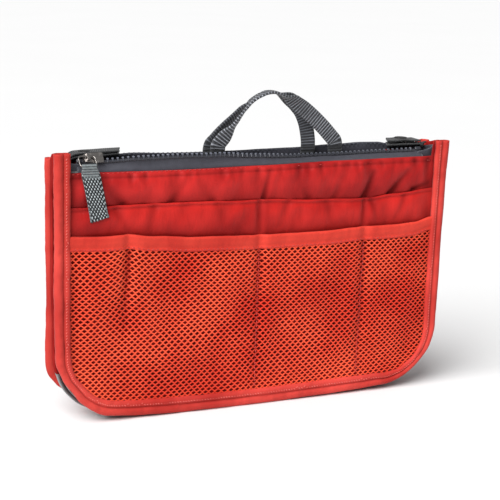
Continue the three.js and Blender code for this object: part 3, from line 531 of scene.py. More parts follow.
def metal(name, dark, light, scuffed=0.25, worn=0.25):
    """Dark polished zinc with fine scratches, painted highlights on its sharp edges, and bright patches that stand for
    both wear and painted glints.
    """
    paint = Paint(name)
    scratch = paint.noise(500, 3, stretch=(0.25, 1, 1))
    # Bright patches by noise: partly wear, partly painted glints
    wear_and_glint = paint.noise(240, 2).between(0.5, 0.66)
    # Painted highlight: sharp edges, found by pointiness, are lightened
    edge = paint.node("NewGeometry", output="Pointiness").between(0.5, 0.58)
    colour = paint.mix(edge * 0.6 + scratch * scuffed + wear_and_glint * worn, dark, light)
    paint.bump(scratch, 0.12, 0.05)
    return paint.finish(colour, 0.16 + scratch * 0.16, metallic=1.0)


def thread(name, deep, full):
    """Twisted sewing thread."""
    paint = Paint(name)
    x, y, z = paint.axes()
    twist = ((x + y + z) * 9).wave()
    paint.bump(twist, 0.4, 0.08)
    return paint.finish(paint.mix(twist, deep, full), 0.5, sheen_weight=0.3, sheen_roughness=0.4)


RED_PANEL = nylon("red_panel_nylon", linear(136, 13, 16), linear(194, 39, 36), 0.04, 0.42, shine=0.15)
RED_POCKET = nylon("red_pocket_nylon", linear(138, 12, 13), linear(194, 38, 33), 0.04, 0.42, shine=0.15)
# A darker copy of the panels' red nylon: painted shade on the gussets, which sit deep between the bindings
SHADED_RED_GUSSET = nylon("red_gusset_nylon_painted_shade", linear(112, 14, 14), linear(154, 34, 31), 0.0, 0.9, shine=0.03)
RED_BINDING = nylon("red_binding_tape", linear(160, 38, 33), linear(200, 67, 59), 0.04, 0.62, shine=0.1)
RED_HEM = nylon("red_hem_tape", linear(172, 38, 31), linear(210, 64, 50), 0.04, 0.58, shine=0.12)
RED_NET = nylon("red_net_yarn", linear(208, 44, 23), linear(241, 87, 54), 0.04, 0.5)
RED_THREAD = thread("red_thread", linear(150, 20, 20), linear(214, 66, 58))
PALE_THREAD = thread("pale_red_thread", linear(206, 62, 54), linear(238, 132, 120))
GREY_NYLON = nylon("grey_lining_nylon", linear(98, 102, 102), linear(132, 136, 136), 0.1, 0.55)
ZIP_TAPE = tape_weave("zip_tape_weave", linear(36, 36, 42), linear(74, 74, 86))
WEBBING = ribbed("handle_webbing", linear(15, 17, 22), linear(194, 198, 208), 2.05, 1.0)
BACK_WEBBING = ribbed("back_handle_webbing", linear(14, 15, 20), linear(136, 140, 150), 1.9, 0.85)
# A darker copy of the handle webbing: painted shade on the handles' sewn ends inside the mouth
SHADED_FOOT_WEBBING = ribbed("handle_end_webbing_painted_shade", linear(12, 13, 16), linear(80, 82, 88), 2.05, 0.7)
STRAP_WEBBING = ribbed("strap_webbing", linear(11, 12, 14), linear(46, 48, 53), 1.3, 0.6)
PULL_WEBBING = checked("pull_webbing", linear(15, 19, 24), linear(188, 198, 200), 1.02, 1.5, 25.6)
PLASTIC = moulded("zip_teeth_plastic", linear(34, 34, 40), linear(106, 109, 120))
# A darker copy of the teeth plastic with dimmer painted highlights: painted shade on the back row of teeth
SHADED_PLASTIC = moulded("back_teeth_plastic_painted_shade", linear(34, 35, 41), linear(74, 76, 85))
METAL = metal("dark_metal", linear(7, 7, 8), linear(92, 89, 88))
# The slider's metal: its bright patches are set large as painted glints
SLIDER_METAL = metal("slider_metal", linear(8, 8, 9), linear(198, 192, 188), 0.1, 0.55)
BRIGHT_METAL = metal("ring_metal", linear(52, 48, 46), linear(226, 220, 214), 0.5)

# Front wall: panel, slip pocket, net and hem

SLIP_TOP = [
    (-132, 140.3), (-100, 140.7), (-73, 140.8), (-45, 140.5), (-17, 139.8), (5, 139.7),
    (40, 137.9), (79, 137.0), (104, 139.3), (132, 141.6),
]
HEM_TOP = [
    (-132, 122.3), (-112, 121.6), (-93, 121.9), (-74, 119.6), (-43, 117.4), (1, 116.2),
    (40, 116.1), (77, 117.4), (103, 117.6), (118, 118.2), (133, 121.2),
]
HEM_HEIGHT = 10.0
DIVIDERS = (0.0, 79.0)
PANEL_TOP = [(-130, 162.3), (-58, 161.7), (0, 162.4), (57, 163.6), (130, 164.3)]
PANEL_CREASES = [
    (3, 140, 6, 158, 2.2, 2.0),
    (79, 138, 85, 154, 2.4, 2.6),
    (99, 139, 111, 154, 2.6, 2.4),
    (117, 141, 133, 147, 2.0, 1.6),
    (-96, 141, -112, 159, 3.4, 1.5),
    (-62, 141, -54, 154, 3.2, 1.0),
    (-34, 141, -42, 153, 3.4, 1.0),
    (36, 139, 28, 154, 3.2, 1.1),
    (56, 139, 62, 152, 3.0, 1.0),
]
SLIP_CREASES = [
    (0, 141, 1, 118, 1.5, 1.3),
    (79, 138, 79, 118, 1.5, 1.3),
    (84, 136, 90, 122, 2.4, 1.2),
    (-74, 138, -78, 124, 3.6, 1.3),
    (-100, 138, -92, 124, 3.0, 1.1),
    (-30, 138, -24, 123, 3.4, 1.0),
    (22, 138, 14, 122, 3.4, 1.0),
    (50, 136, 56, 121, 3.2, 0.9),
    (110, 136, 104, 122, 3.0, 1.1),
]


def wall_panel(side, seed, top_line, creases):
    def place(u, v):
        x = (u * 2 - 1) * SEAM_HALF * -side
        low = outline_base(x, SEAM_INSET)
        brim = through(PANEL_TOP, x) if side == FRONT else WALL_TOP
        top = brim if abs(x) < HALF_WIDTH - BINDING_WIDTH + 0.4 else BODY_HEIGHT - 2
        z = low + (top - low) * v ** 0.7
        pocket = through(top_line, x) - 2.5
        down = (brim - z) / (brim - pocket)
        ends = smooth(0, 9, room(x))
        fine = ripple(x, z, seed + 4, 11, 20)
        full = 3.3 + ripple(x, z, seed, 32, 40) * 1.4 + fine * 1.6
        band = smooth(13, 2, brim - z) * smooth(0, 2, brim - z)
        seam = ripple(x, z, seed + 9, 5.2, 40) * 1.35 * band
        stitch = hump(brim - z - 3.4, 0.8)
        dent = sum(hollow(x, z, crease) for crease in creases)
        swell = (full * pad(down, 0.4) + seam - 0.45 * stitch) * ends - dent * ends
        inset = SHELL_INSET + 0.35 - (swell if down < 1.1 else 0)
        # Painted shade: darker in creases, along the stitch line, towards the pad's lower edge, in the seam ruffles'
        # hollows, in a strip under the brim, beside the binding and in the fine ripples' dips
        shade = 1 - 0.3 * min(1.6, dent) - 0.3 * stitch - 0.42 * smooth(0.5, 1.0, down)
        shade = shade - 0.7 * max(0, -seam) - 0.2 * smooth(7, 1, brim - z)
        shade -= 0.35 * smooth(9, 0, room(x)) + 0.35 * max(0, -fine)
        return (x, wall_y(side, z, min(max(inset, -0.5), 4.1)), z, max(0.0, shade))
    return cloth(f"{SIDES[side]}_wall_panel", 300, 130, place, 2 * SEAM_HALF, WALL_TOP, 0.5)


def slip_pocket(side, top_line, hem_line, dividers, creases, seed):
    def place(u, v):
        x = (u * 2 - 1) * SEAM_HALF * -side
        low = outline_base(x, SEAM_INSET)
        top = through(top_line, x) + ripple(x, 0, seed + 7, 9, 1) * 0.25
        z = low + (top - low) * v ** 0.75
        ends = smooth(0, 11, room(x))
        free = (1 - pinch(x, dividers, 3.0)) * ends
        below = top - z
        down = below / (top - through(hem_line, x) + 1.5)
        fine = ripple(x, z, seed + 3, 10, 17)
        full = 2.2 + ripple(x, z, seed, 28, 34) * 1.1 + fine * 1.3
        wave = ripple(x, z, seed + 5, 26, 26) * 0.35
        groove = hump(below - 2.3, 0.6)
        lip = 0.85 * smooth(1.7, 1.0, below) - 0.45 * groove
        dent = sum(hollow(x, z, crease) for crease in creases)
        swell = full * pad(down, 0.4) if down < 1 else 0
        inset = SLIP_INSET - free * swell - lip * ends - wave * free * smooth(0, 30, z - low) + dent * ends
        # Painted shade: darker in creases and the groove under the lip, towards the pocket's lower part, beside the
        # binding and in the fine ripples' dips; on the front, darker still behind the net as painted shadow
        shade = 1 - 0.32 * min(1.6, dent) - 0.3 * groove - 0.4 * smooth(0.45, 1.0, down)
        shade -= 0.22 * smooth(0.98, 1.1, down) if side == FRONT else 0
        shade -= 0.3 * smooth(9, 0, room(x)) + 0.35 * max(0, -fine)
        return (x, wall_y(side, z, min(max(inset, -0.9), SLIP_INSET + 0.5)), z, max(0.0, shade))
    return cloth(f"{SIDES[side]}_pocket_cloth", 300, 110, place, 2 * SEAM_HALF, top_line[0][1], 0.45)


NET_PITCH_X = 4.35
NET_PITCH_Z = 3.95
NET_STRAND = 0.68
NET_YARN = 0.55
NET_TOP = 122.0
# How far the net runs on under the binding, and how its inset squares are drawn wide and low
NET_SEWN = 4
HOLE_WIDE = 1.08
HOLE_HIGH = 0.8
# The upright tuck in the net: its place below the hem, and its lean
TUCK_X = -92
TUCK_LEAN = 0.05


def off_tuck(x, down):
    """How far x lies from the tuck's line, so far down from its top."""
    return x - TUCK_X + TUCK_LEAN * down


def net_stand(x, z):
    """How far the net stands out from its seams, with its soft upright folds."""
    top = through(HEM_TOP, x) - HEM_HEIGHT / 2
    low = outline_base(x, BINDING_WIDTH)
    up = smooth(0, 55, z - low)
    side = smooth(0, 16, room(x))
    sewn = pinch(x, DIVIDERS, 3.5)
    bulge = 1.9 * up * side * (1 - sewn)
    wave = ripple(x, z, 31, 22, 60) * 1.7 * side * up
    hang = smooth(30, 100, z)
    tuck = 1.9 * hump(off_tuck(x, top - z), 3.4) * hang
    return bulge + wave - tuck


def net_warp(x, z):
    """Sideways drift of the net's loops near its tuck and dividers."""
    shift = ripple(x, z, 47, 22, 18) * 1.5
    near = hump(x - TUCK_X, 9) * smooth(40, 112, z)
    rise = 2.6 * near + 0.8 * pinch(x, DIVIDERS, 7.0) * smooth(30, 110, z)
    return shift, rise + ripple(x, z, 53, 30, 16) * 0.7


def net_shade(x, z):
    """Painted shade on the net: darker along its dividers and its tuck, below the hem and beside the binding."""
    tuck = hump(off_tuck(x, 110 - z), 1.9) * smooth(38, 100, z)
    sewn = pinch(x, DIVIDERS, 1.7) * (0.45 + 0.4 * smooth(30, 110, z))
    edge = 0.25 * smooth(7, 0, room(x))
    return max(0.0, 1 - 0.85 * tuck - sewn - edge)


def net():
    """Staggered diamond loops: a turned grid, each face inset, its middle removed, given yarn thickness."""
    reach = HALF_WIDTH - BINDING_WIDTH + NET_SEWN
    base = BINDING_WIDTH - NET_SEWN
    count = int(2 * reach / NET_PITCH_X + (NET_TOP - base) / NET_PITCH_Z) + 2
    piece = start(bpy.ops.mesh.primitive_grid_add, x_subdivisions=count, y_subdivisions=count, size=1)
    for vertex in piece.data.vertices:
        a = (vertex.co.x + 0.5) * count
        b = (vertex.co.y + 0.5) * count
        x = (a - b) * NET_PITCH_X / 2
        z = (a + b - count) * NET_PITCH_Z / 2 + (NET_TOP + base) / 2
        vertex.co = Vector((x, 0, z))
    open_mesh("DESELECT")
    close_mesh()
    for face in piece.data.polygons:
        x, _, z = face.center
        low = outline_base(x, base)
        face.select = abs(x) > reach or z < low or z > through(HEM_TOP, x) - HEM_HEIGHT + 3
    bpy.ops.object.mode_set(mode="EDIT")
    bpy.ops.mesh.delete(type="FACE")
    bpy.ops.mesh.select_all(action="SELECT")
    bpy.ops.mesh.inset(thickness=NET_STRAND / 2, use_individual=True, use_even_offset=True)
    mesh = bmesh.from_edit_mesh(piece.data)
    for face in mesh.faces:
        if face.select:
            centre = face.calc_center_median()
            for vertex in face.verts:
                vertex.co.x = centre.x + (vertex.co.x - centre.x) * HOLE_WIDE
                vertex.co.z = centre.z + (vertex.co.z - centre.z) * HOLE_HIGH
    bmesh.update_edit_mesh(piece.data)
    bpy.ops.mesh.delete(type="FACE")
    close_mesh()
    for vertex in piece.data.vertices:
        x, _, z = vertex.co
        dx, dz = net_warp(x, z)
        y = wall_y(FRONT, z, NET_INSET - net_stand(x, z))
        vertex.co = Vector((x + dx, y, z + dz)) * MM
    # The net's painted shade goes into its fold attribute
    mark(piece, "fold", [net_shade(vertex.co.x / MM, vertex.co.z / MM) for vertex in piece.data.vertices])
    label(piece, "net_pocket_yarn")
    return shaded(apply_modifiers(piece, ("SOLIDIFY", {"thickness": NET_YARN * MM, "offset": -1})))


# The hem's section, from its lower edge to its upper edge
HEM_PUFF = [(0, 0.1), (0.1, 0.75), (0.2, 0.3), (0.55, 1.0), (0.86, 1.25), (0.95, 1.0), (1, 0.1)]


def hem():
    """A folded band over the net's top edge, puffed between its two sewn edges."""
    def place(u, v):
        x = (u * 2 - 1) * SEAM_HALF
        top = through(HEM_TOP, x) + ripple(x, 0, 73, 8, 1) * 0.2
        z = top - HEM_HEIGHT + HEM_HEIGHT * v
        puff = through(HEM_PUFF, v)
        tug = ripple(x, z, 71, 7, 14) * 0.35 * (1 - abs(2 * v - 1))
        side = smooth(0, 12, room(x))
        stand = net_stand(x, top - HEM_HEIGHT / 2) * side
        return (x, wall_y(FRONT, z, NET_INSET - stand - puff - tug * side), z)
    return cloth("net_pocket_hem_band", 300, 16, place, 2 * SEAM_HALF, HEM_HEIGHT, 1.0)


# Edge bindings


def outline(share, drop=0.0):
    """A point and inward normal on the body's outline, from the top left down, along and up."""
    straight = BODY_HEIGHT - CORNER_RADIUS - drop
    arc = math.pi / 2 * CORNER_RADIUS
    flat = 2 * (HALF_WIDTH - CORNER_RADIUS)
    length = 2 * straight + 2 * arc + flat
    run = share * length
    centre = HALF_WIDTH - CORNER_RADIUS
    if run < straight:
        return Vector((-HALF_WIDTH, 0, BODY_HEIGHT - drop - run)), Vector((1, 0, 0)), length
    run -= straight
    if run < arc:
        angle = math.pi / 2 * run / arc
        out = Vector((-math.cos(angle), 0, -math.sin(angle)))
        return Vector((-centre, 0, CORNER_RADIUS)) + out * CORNER_RADIUS, -out, length
    run -= arc
    if run < flat:
        return Vector((-centre + run, 0, 0)), Vector((0, 0, 1)), length
    run -= flat
    if run < arc:
        angle = math.pi / 2 * run / arc
        out = Vector((math.sin(angle), 0, -math.cos(angle)))
        return Vector((centre, 0, CORNER_RADIUS)) + out * CORNER_RADIUS, -out, length
    run -= arc
    return Vector((HALF_WIDTH, 0, CORNER_RADIUS + run)), Vector((-1, 0, 0)), length


# The folded tape's section: how far inward from the outline, and how far in from the wall's outer face
BINDING_SECTION = [
    (11.3, 2.2), (11.25, 1.2), (10.8, 0.5), (9.7, 0.25), (8.4, 0.3), (7.5, 0.6), (6.9, 1.1), (6.3, 1.25),
    (5.7, 0.9), (4.9, 0.3), (3.4, -0.2), (1.9, 0.15), (0.7, 1.0), (0.1, 2.4), (0.3, 3.9), (1.2, 4.9),
    (2.9, 5.4), (4.4, 5.3), (5.6, 5.1), (6.3, 5.0), (7.0, 5.1), (8.2, 5.3), (9.7, 5.3), (10.9, 5.2), (11.3, 4.6),
]
SECTION_WIDTH = 11.3
# Where the section dips along its seam
VALLEY = 6.4
# Where the binding's outer and inner edges lie, inward from the outline, by share of the way round from the top left
FRONT_OUTER = [
    (0, -0.5), (0.2, -0.3), (0.227, 0.2), (0.25, 2.6), (0.27, 3.9), (0.29, 2.2), (0.32, 0.7), (0.37, 0.1),
    (0.6, 0.5), (0.66, 0.8), (0.683, 0.6), (0.705, 0.2), (0.725, -0.4), (0.75, -1.9), (0.775, -2.5),
    (0.8, -2.7), (0.95, -2.6), (1, -3.6),
]
FRONT_INNER = [
    (0, 8.9), (0.2, 8.8), (0.25, 10.0), (0.272, 11.0), (0.3, 10.6), (0.36, 10.2), (0.6, 10.4), (0.655, 9.6),
    (0.683, 8.2), (0.705, 6.6), (0.73, 5.6), (0.755, 5.8), (0.8, 6.5), (1, 6.4),
]
BACK_OUTER = [
    (0, -0.4), (0.2, -0.6), (0.227, -1.2), (0.25, -2.2), (0.265, -0.8), (0.285, 2.2), (0.33, 2.2),
    (0.4, 0.0), (1, -0.4),
]
BACK_INNER = [(0, 8.9), (0.2, 8.7), (0.25, 8.2), (0.285, 10.6), (0.4, 9.8), (0.6, 9.8), (0.7, 8.9), (1, 8.9)]
BINDING_LINES = {FRONT: (FRONT_OUTER, FRONT_INNER), BACK: (BACK_OUTER, BACK_INNER)}


def binding(side, seed):
    count = len(BINDING_SECTION) - 1
    length = outline(0)[2]
    outer, inner = BINDING_LINES[side]
    def place(u, v):
        s, inset = BINDING_SECTION[round(u * count)]
        if side == FRONT:
            v = 1 - v
        spot, inward, _ = outline(v)
        run = v * length
        roll = smooth(8, 1, s)
        puff = ripple(run, 0, seed, 12, 1) * 0.9 + ripple(run, s, seed + 5, 4.2, 9) * 0.8
        puff += ripple(run, s, seed + 9, 15, 2.6) * 0.8
        slip = ripple(run, 0, seed + 8, 36, 1) * 0.6
        tug = ripple(run, s, seed + 2, 5.5, 30) * 0.4 * smooth(6, 10, s)
        tug += ripple(run, 0, seed + 6, 16, 1) * 0.45 * smooth(7, 11, s)
        edge = through(outer, v)
        across = edge + (through(inner, v) - edge) * s / SECTION_WIDTH
        across += roll * (puff * 0.3 + slip)
        across += smooth(9, 11, s) * ripple(run, 0, seed + 3, 11, 1) * 0.5
        spot = spot + inward * across
        swell = puff * 0.8 * math.sin(math.pi * min(1, s / VALLEY)) - tug
        outside = inset < BINDING_DEPTH / 2
        depth = inset - swell if outside else inset + swell * 0.5
        # Painted shade: darker along the seam's valley, and the inner face darker all over
        shade = 1 - 0.5 * hump(s - VALLEY, 0.9) if outside else 0.8
        return (spot.x, wall_y(side, max(0, spot.z), max(-0.6, depth)), max(0.02, spot.z), shade)
    return cloth(f"{SIDES[side]}_edge_binding", count, 420, place, 33, length, 0.6)


# Linings and inner pocket


def lining(side, seed):
    def place(u, v):
        x = (u * 2 - 1) * SEAM_HALF * side
        low = outline_base(x, SEAM_INSET)
        z = low + (WALL_TOP - low) * v
        wave = ripple(x, z, seed, 30, 30) * 0.25 * smooth(0, 20, SEAM_HALF - abs(x))
        return (x, wall_y(side, z, LINING_INSET + 0.35 - wave), z)
    return cloth(f"{SIDES[side]}_lining_cloth", 120, 60, place, 2 * SEAM_HALF, WALL_TOP, 0.35)


def inner_pocket():
    low, high = corners("inner_pocket")
    def place(u, v):
        x = low.x + (high.x - low.x) * u
        z = low.z + (high.z - low.z) * v
        wave = ripple(x, z, 83, 24, 30) * 0.3 * smooth(0, 10, min(x - low.x, high.x - x)) * v
        return (x, wall_y(BACK, z, INNER_POCKET_INSET + 0.4 - wave), z)
    return cloth("inner_pocket_cloth", 80, 30, place, high.x - low.x, high.z - low.z, 0.35)


# Gussets and base: one band, pleated along the back wall

PLEAT_START = 13.2
PLEAT_TOP = 166.5


# Down the side from the top: how deep the slit beside the front binding is, how far out the bellows' ridge
# stands, and the ridge's front edge measured from the middle of the depth
SLIT_DEPTH = [(0, 1.2), (15, 1.6), (30, 12.0), (92, 11.0), (112, 6.0), (150, 4.4), (165, 3.2), (400, 2.8)]
RIDGE_OUT = [(0, 0.2), (17, 0.3), (32, 1.0), (140, 1.2), (166, 0.2), (205, 0.4), (260, 1.4), (400, 1.6)]
RIDGE_EDGE = [(0, -6.4), (13, -6.2), (30, 0.2), (86, -0.2), (112, -2.6), (150, -3.4), (400, -3.6)]
# Steps of the section from seam to seam
BAND_FOLDS = 14


def band_point(spot, inward, share, run):
    """A point of the bellows' section at a share of its way from the front seam to the back seam."""
    slit, ridge, front = (through(line, run) for line in (SLIT_DEPTH, RIDGE_OUT, RIDGE_EDGE))
    deep = PLEAT_START
    section = [
        (3.0, FRONT, 4.3),
        (3.2, FRONT, 5.8),
        (slit, FRONT, 6.5),
        (slit, 0, front + 2.6),
        (ridge + 0.7, 0, front),
        (ridge, 0, front + 1.7),
        (ridge + 0.2, 0, front + 5.5),
        (ridge + 1.4, BACK, 6.9),
        (deep, BACK, FOLD_INSET + 0.6),
        (deep + 22.6, BACK, FOLD_INSET + 0.2),
        (deep + 23, BACK, FOLD_INSET - 0.2),
        (deep + 22.6, BACK, BAND_INSET + 0.3),
        (deep, BACK, BAND_INSET + 0.2),
        (3.4, BACK, BAND_INSET),
        (3.0, BACK, 4.6),
    ]
    place = share * (len(section) - 1)
    index = min(int(place), len(section) - 2)
    part = place - index
    def at(entry):
        s, side, value = entry
        point = spot + inward * s
        y = wall_y(side, point.z, value) if side else MID_Y + value
        return Vector((point.x, y, point.z))
    return at(section[index]).lerp(at(section[index + 1]), part)


def band(name, low_share, high_share, seed, steps):
    def place(u, v):
        share = low_share + (high_share - low_share) * u
        spot, inward, length = outline(share, 0.5)
        run = share * length
        fold = v * BAND_FOLDS
        point = band_point(spot, inward, v, min(run, length - run))
        if abs(point.x) < HALF_WIDTH - 4:
            point.z = min(point.z, PLEAT_TOP)
        wrinkle = ripple(run, fold * 3, seed, 9, 6) * 0.55 * math.sin(math.pi * min(1, fold / 7)) if fold < 7 else 0
        # Painted shade: dark down in the slit beside the front binding, fading out towards the band's ends
        shade = 1 - 0.95 * math.exp(-((fold - 2.9) / 1.5) ** 4) * smooth(10, 30, run) * smooth(10, 30, length - run)
        return (*(point + inward * wrinkle), shade)
    return cloth(name, steps, 84, place, 200, 90, 0.45)


# Zip: tapes, teeth, stops

# Each row's line by x: y from the middle of the mouth, and z
FRONT_CHAIN_Y = [
    (-125, -6.2), (-104, -6.2), (-84, -8.4), (-44, -8.6), (0, -6.0), (50, -3.2), (100, -3.0), (118, -4.6),
    (126, -4.6),
]
FRONT_CHAIN_Z = [
    (-125, 168.5), (-104, 168.6), (-84, 169.9), (-57, 170.4), (-30, 170.1), (0, 168.2), (27, 166.9), (55, 166.9),
    (100, 167.6), (126, 168.4),
]
BACK_CHAIN_Y = [(-125, 6.2), (-104, 6.2), (-60, 5.2), (-20, 7.4), (10, 9.6), (80, 9.6), (112, 8.0), (126, 5.6)]
BACK_CHAIN_Z = [
    (-125, 168.4), (-104, 169.6), (-84, 170.6), (-61, 169.9), (-38, 169.4), (0, 169.2), (30, 169.5), (62, 170.8),
    (84, 171.7), (97, 171.6), (104, 170.6), (112, 170.0), (126, 169.4),
]
CHAIN_LINES = {FRONT: (FRONT_CHAIN_Y, FRONT_CHAIN_Z), BACK: (BACK_CHAIN_Y, BACK_CHAIN_Z)}
TAPE_REST_INSET = 3.95
TAPE_THICKNESS = 0.6
TAPE_END = 124.7
TOOTH_PITCH = 3.3
CHAIN_START = -119.5
CHAIN_END = 119.5
# The bare cord at a row's ends, how low the back row sits on its tape, and a stop's distance from the tape's end
ROW_MARGIN = 2
BACK_ROW_DROP = 1.1
STOP_INSET = 2.25
CORD_RADIUS = 0.95
CORD_STEPS = 120


def square_to(along, vector):
    """The part of a vector that is square to a unit vector, made a unit vector."""
    return (vector - along * vector.dot(along)).normalized()


def chain(side, x):
    """The chain's cord at x: its point, and the unit vectors along, towards the mouth and outwards."""
    y_line, z_line = CHAIN_LINES[side]
    def at(place):
        return Vector((place, MID_Y + through(y_line, place), through(z_line, place)))
    point = at(x)
    along = (at(x + 1) - at(x - 1)).normalized()
    foot = Vector((x, wall_y(side, WALL_TOP, TAPE_REST_INSET), WALL_TOP + 0.3))
    rise = square_to(along, point - foot)
    out = rise.cross(along) if side == FRONT else along.cross(rise)
    return point, along, rise, out.normalized(), foot


def tape(side):
    def place(u, v):
        x = (2 * u - 1) * TAPE_END * -side
        point, along, rise, out, foot = chain(side, x)
        low = Vector((x, wall_y(side, WALL_TOP - TAPE_FOOT, TAPE_REST_INSET), WALL_TOP - TAPE_FOOT))
        tip = point + rise * (0.9 if side == BACK else -0.2)
        if v < 0.4:
            spot = low.lerp(foot, v / 0.4)
        else:
            share = (v - 0.4) / 0.6
            spot = foot.lerp(tip, share)
            belly = math.sin(math.pi * share) * (0.55 + ripple(x, 0, 91 + side, 22, 1) * 0.5)
            spot = spot + out * belly
            spot = spot + out * (ripple(x, share * 6, 95 + side, 9, 5) * 0.16)
        return tuple(spot)
    return cloth(f"{SIDES[side]}_zip_cloth", 240, 16, place, 2 * TAPE_END, 14, TAPE_THICKNESS)


# The line of the tapes' ends from the front row round to the back row, y from the middle of the mouth
TAPE_TURN = [(121.6, -6.8), (127, -6.9), (133, -6.2), (136, -2.8), (136.4, 2.0), (134.4, 5.4), (129, 6.9), (124, 7.4)]
TURN_FOOT = 157
TURN_TOP = 167.4
TURN_RISE = {LEFT: 2.2, RIGHT: 4.2}


def tape_end(end):
    """The two tapes' ends, turned across the end of the mouth."""
    line, length = curve_through([(end * x, MID_Y + y, 0) for x, y in TAPE_TURN])
    def place(u, v):
        spot = line(u)
        top = TURN_TOP + TURN_RISE[end] * smooth(0, 0.6, u) + ripple(u * 30, 0, 97, 9, 1) * 0.4
        z = TURN_FOOT + (top - TURN_FOOT) * v
        return (spot.x - end * 0.8 * (1 - v) * (1 - abs(2 * u - 1)), spot.y, z)
    return cloth(f"{ENDS[end]}_zip_end_cloth", 60, 10, place, length, 12, TAPE_THICKNESS)


# A tooth's rings from its foot up: half its size along the row, half its size across it, and the height, in mm
TOOTH_RINGS = [(0.55, 1.1, -1.3), (0.55, 1.1, 0.9), (0.825, 0.946, 1.2), (0.5445, 0.6622, 1.8)]


def tooth_shape():
    """One moulded tooth at the origin: its foot grips the tape's edge, its head is a rounded scoop. In mm."""
    points = [(x * i, y * j, z) for x, y, z in TOOTH_RINGS for i, j in ((-1, -1), (1, -1), (1, 1), (-1, 1))]
    sides = [(r + a, r + b, r + b + 4, r + a + 4) for r in (0, 4, 8) for a, b in ((0, 1), (1, 2), (2, 3), (3, 0))]
    data = bpy.data.meshes.new("tooth")
    data.from_pydata(points, [], [(3, 2, 1, 0), *sides, (12, 13, 14, 15)])
    data.uv_layers.new(name="UVMap")
    piece = bpy.data.objects.new("tooth", data)
    bpy.context.collection.objects.link(piece)
    apply_modifiers(piece, ("BEVEL", {"width": 0.16, "segments": 1, "limit_method": "ANGLE"}))
    # The head attribute marks where the painted highlight falls, rising to 1 at each tooth's top
    mark(piece, "head", [smooth(0.5, 1.4, vertex.co.z) for vertex in data.vertices])
    return piece


def placed(source, name, matrix):
    """A copy of a mesh with its own data, moved by the matrix."""
    copy = source.copy()
    copy.data = source.data.copy()
    copy.name = name
    bpy.context.collection.objects.link(copy)
    copy.data.transform(matrix)
    return copy


def frame_matrix(point, along, across, up):
    """Axes along, across and up as columns, at the point, in metres for a shape drawn in mm."""
    turn = Matrix((along, across, up)).transposed().to_4x4()
    return Matrix.Translation(point * MM) @ turn @ Matrix.Scale(MM, 4)


def teeth(side):
    shape = tooth_shape()
    shift = TOOTH_PITCH / 2 if side == BACK else 0.0
    made = []
    x = CHAIN_START + ROW_MARGIN + shift
    while x <= CHAIN_END - ROW_MARGIN:
        point, along, rise, *_ = chain(side, x)
        if side == BACK:
            point = point - rise * BACK_ROW_DROP
        made.append(placed(shape, "tooth", frame_matrix(point, along, rise.cross(along), rise)))
        x += TOOTH_PITCH
    bpy.data.objects.remove(shape)
    name = f"{SIDES[side]}_teeth_row"
    return shaded(join(name, [join(name, made), chain_cord(side)]), False)


def chain_cord(side):
    """The round cord that a row's teeth are moulded on, closed at both ends."""
    piece = start(bpy.ops.mesh.primitive_cylinder_add, vertices=10, radius=1, depth=1)
    mesh = open_mesh("SELECT")
    edges = [edge for edge in mesh.edges if abs(edge.verts[0].co.z - edge.verts[1].co.z) > 0.5]
    bmesh.ops.subdivide_edges(mesh, edges=edges, cuts=CORD_STEPS - 1, use_grid_fill=False)
    for vertex in mesh.verts:
        share = vertex.co.z + 0.5
        point, along, rise, *_ = chain(side, CHAIN_START + (CHAIN_END - CHAIN_START) * share)
        spot = point + rise * (vertex.co.x * CORD_RADIUS) + rise.cross(along) * (vertex.co.y * CORD_RADIUS)
        vertex.co = (spot - rise * 0.45) * MM
    bmesh.ops.recalc_face_normals(mesh, faces=mesh.faces)
    bmesh.update_edit_mesh(piece.data)
    close_mesh()
    return piece


def stop(side, end):
    """A moulded block that closes one end of a tooth row."""
    piece = start(bpy.ops.mesh.primitive_cube_add, size=1)
    point, along, rise, *_ = chain(side, end * (TAPE_END - STOP_INSET))
    for vertex in piece.data.vertices:
        vertex.co = Vector((vertex.co.x * 4.4, vertex.co.y * 2.4, vertex.co.z * 2.6 + 0.4))
    apply_modifiers(piece, ("BEVEL", {"width": 0.55, "segments": 3}))
    piece.data.transform(frame_matrix(point, along, rise.cross(along), rise))
    return shaded(label(piece, f"{SIDES[side]}_{ENDS[end]}_row_stop"))


# Slider, ring and webbing pull


def rounded_copy(node, name, *modifiers):
    """A merged copy of a frame node, finished with modifiers."""
    source = frame["nodes"][node]
    copy = source.copy()
    copy.data = source.data.copy()
    copy.parent = None
    copy.hide_render = copy.hide_viewport = False
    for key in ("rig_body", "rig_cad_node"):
        if key in copy:
            del copy[key]
    copy.name = copy.data.name = name
    bpy.context.collection.objects.link(copy)
    mesh = bmesh.new()
    mesh.from_mesh(copy.data)
    bmesh.ops.remove_doubles(mesh, verts=mesh.verts, dist=0.002 * MM)
    bmesh.ops.dissolve_limit(mesh, angle_limit=math.radians(1), verts=mesh.verts, edges=mesh.edges)
    mesh.to_mesh(copy.data)
    mesh.free()
    return apply_modifiers(copy, *modifiers)


WEBBING_WIDTH = 10.5
WEBBING_THICKNESS = 1.4
SELVEDGE_DROP = 0.35


def heading(line, v, reach):
    """The unit vector along a line at v, taken from a little before to a little after."""
    return (line(min(1.0, v + reach)) - line(max(0.0, v - reach))).normalized()


def ribbon(name, centre, face, thickness, steps, length):
    """A webbing strip: centre(v) is its middle line, face(v) the way its outer side looks."""
    def place(u, v):
        along = heading(centre, v, 0.004)
        normal = square_to(along, face(v))
        drop = SELVEDGE_DROP * max(0, (abs(2 * u - 1) - 0.72) / 0.28) ** 2
        side = normal.cross(along) * ((u - 0.5) * WEBBING_WIDTH) * -1
        return tuple(centre(v) + side + normal * (thickness / 2 - drop))
    return cloth(name, 8, steps, place, WEBBING_WIDTH, length, thickness)


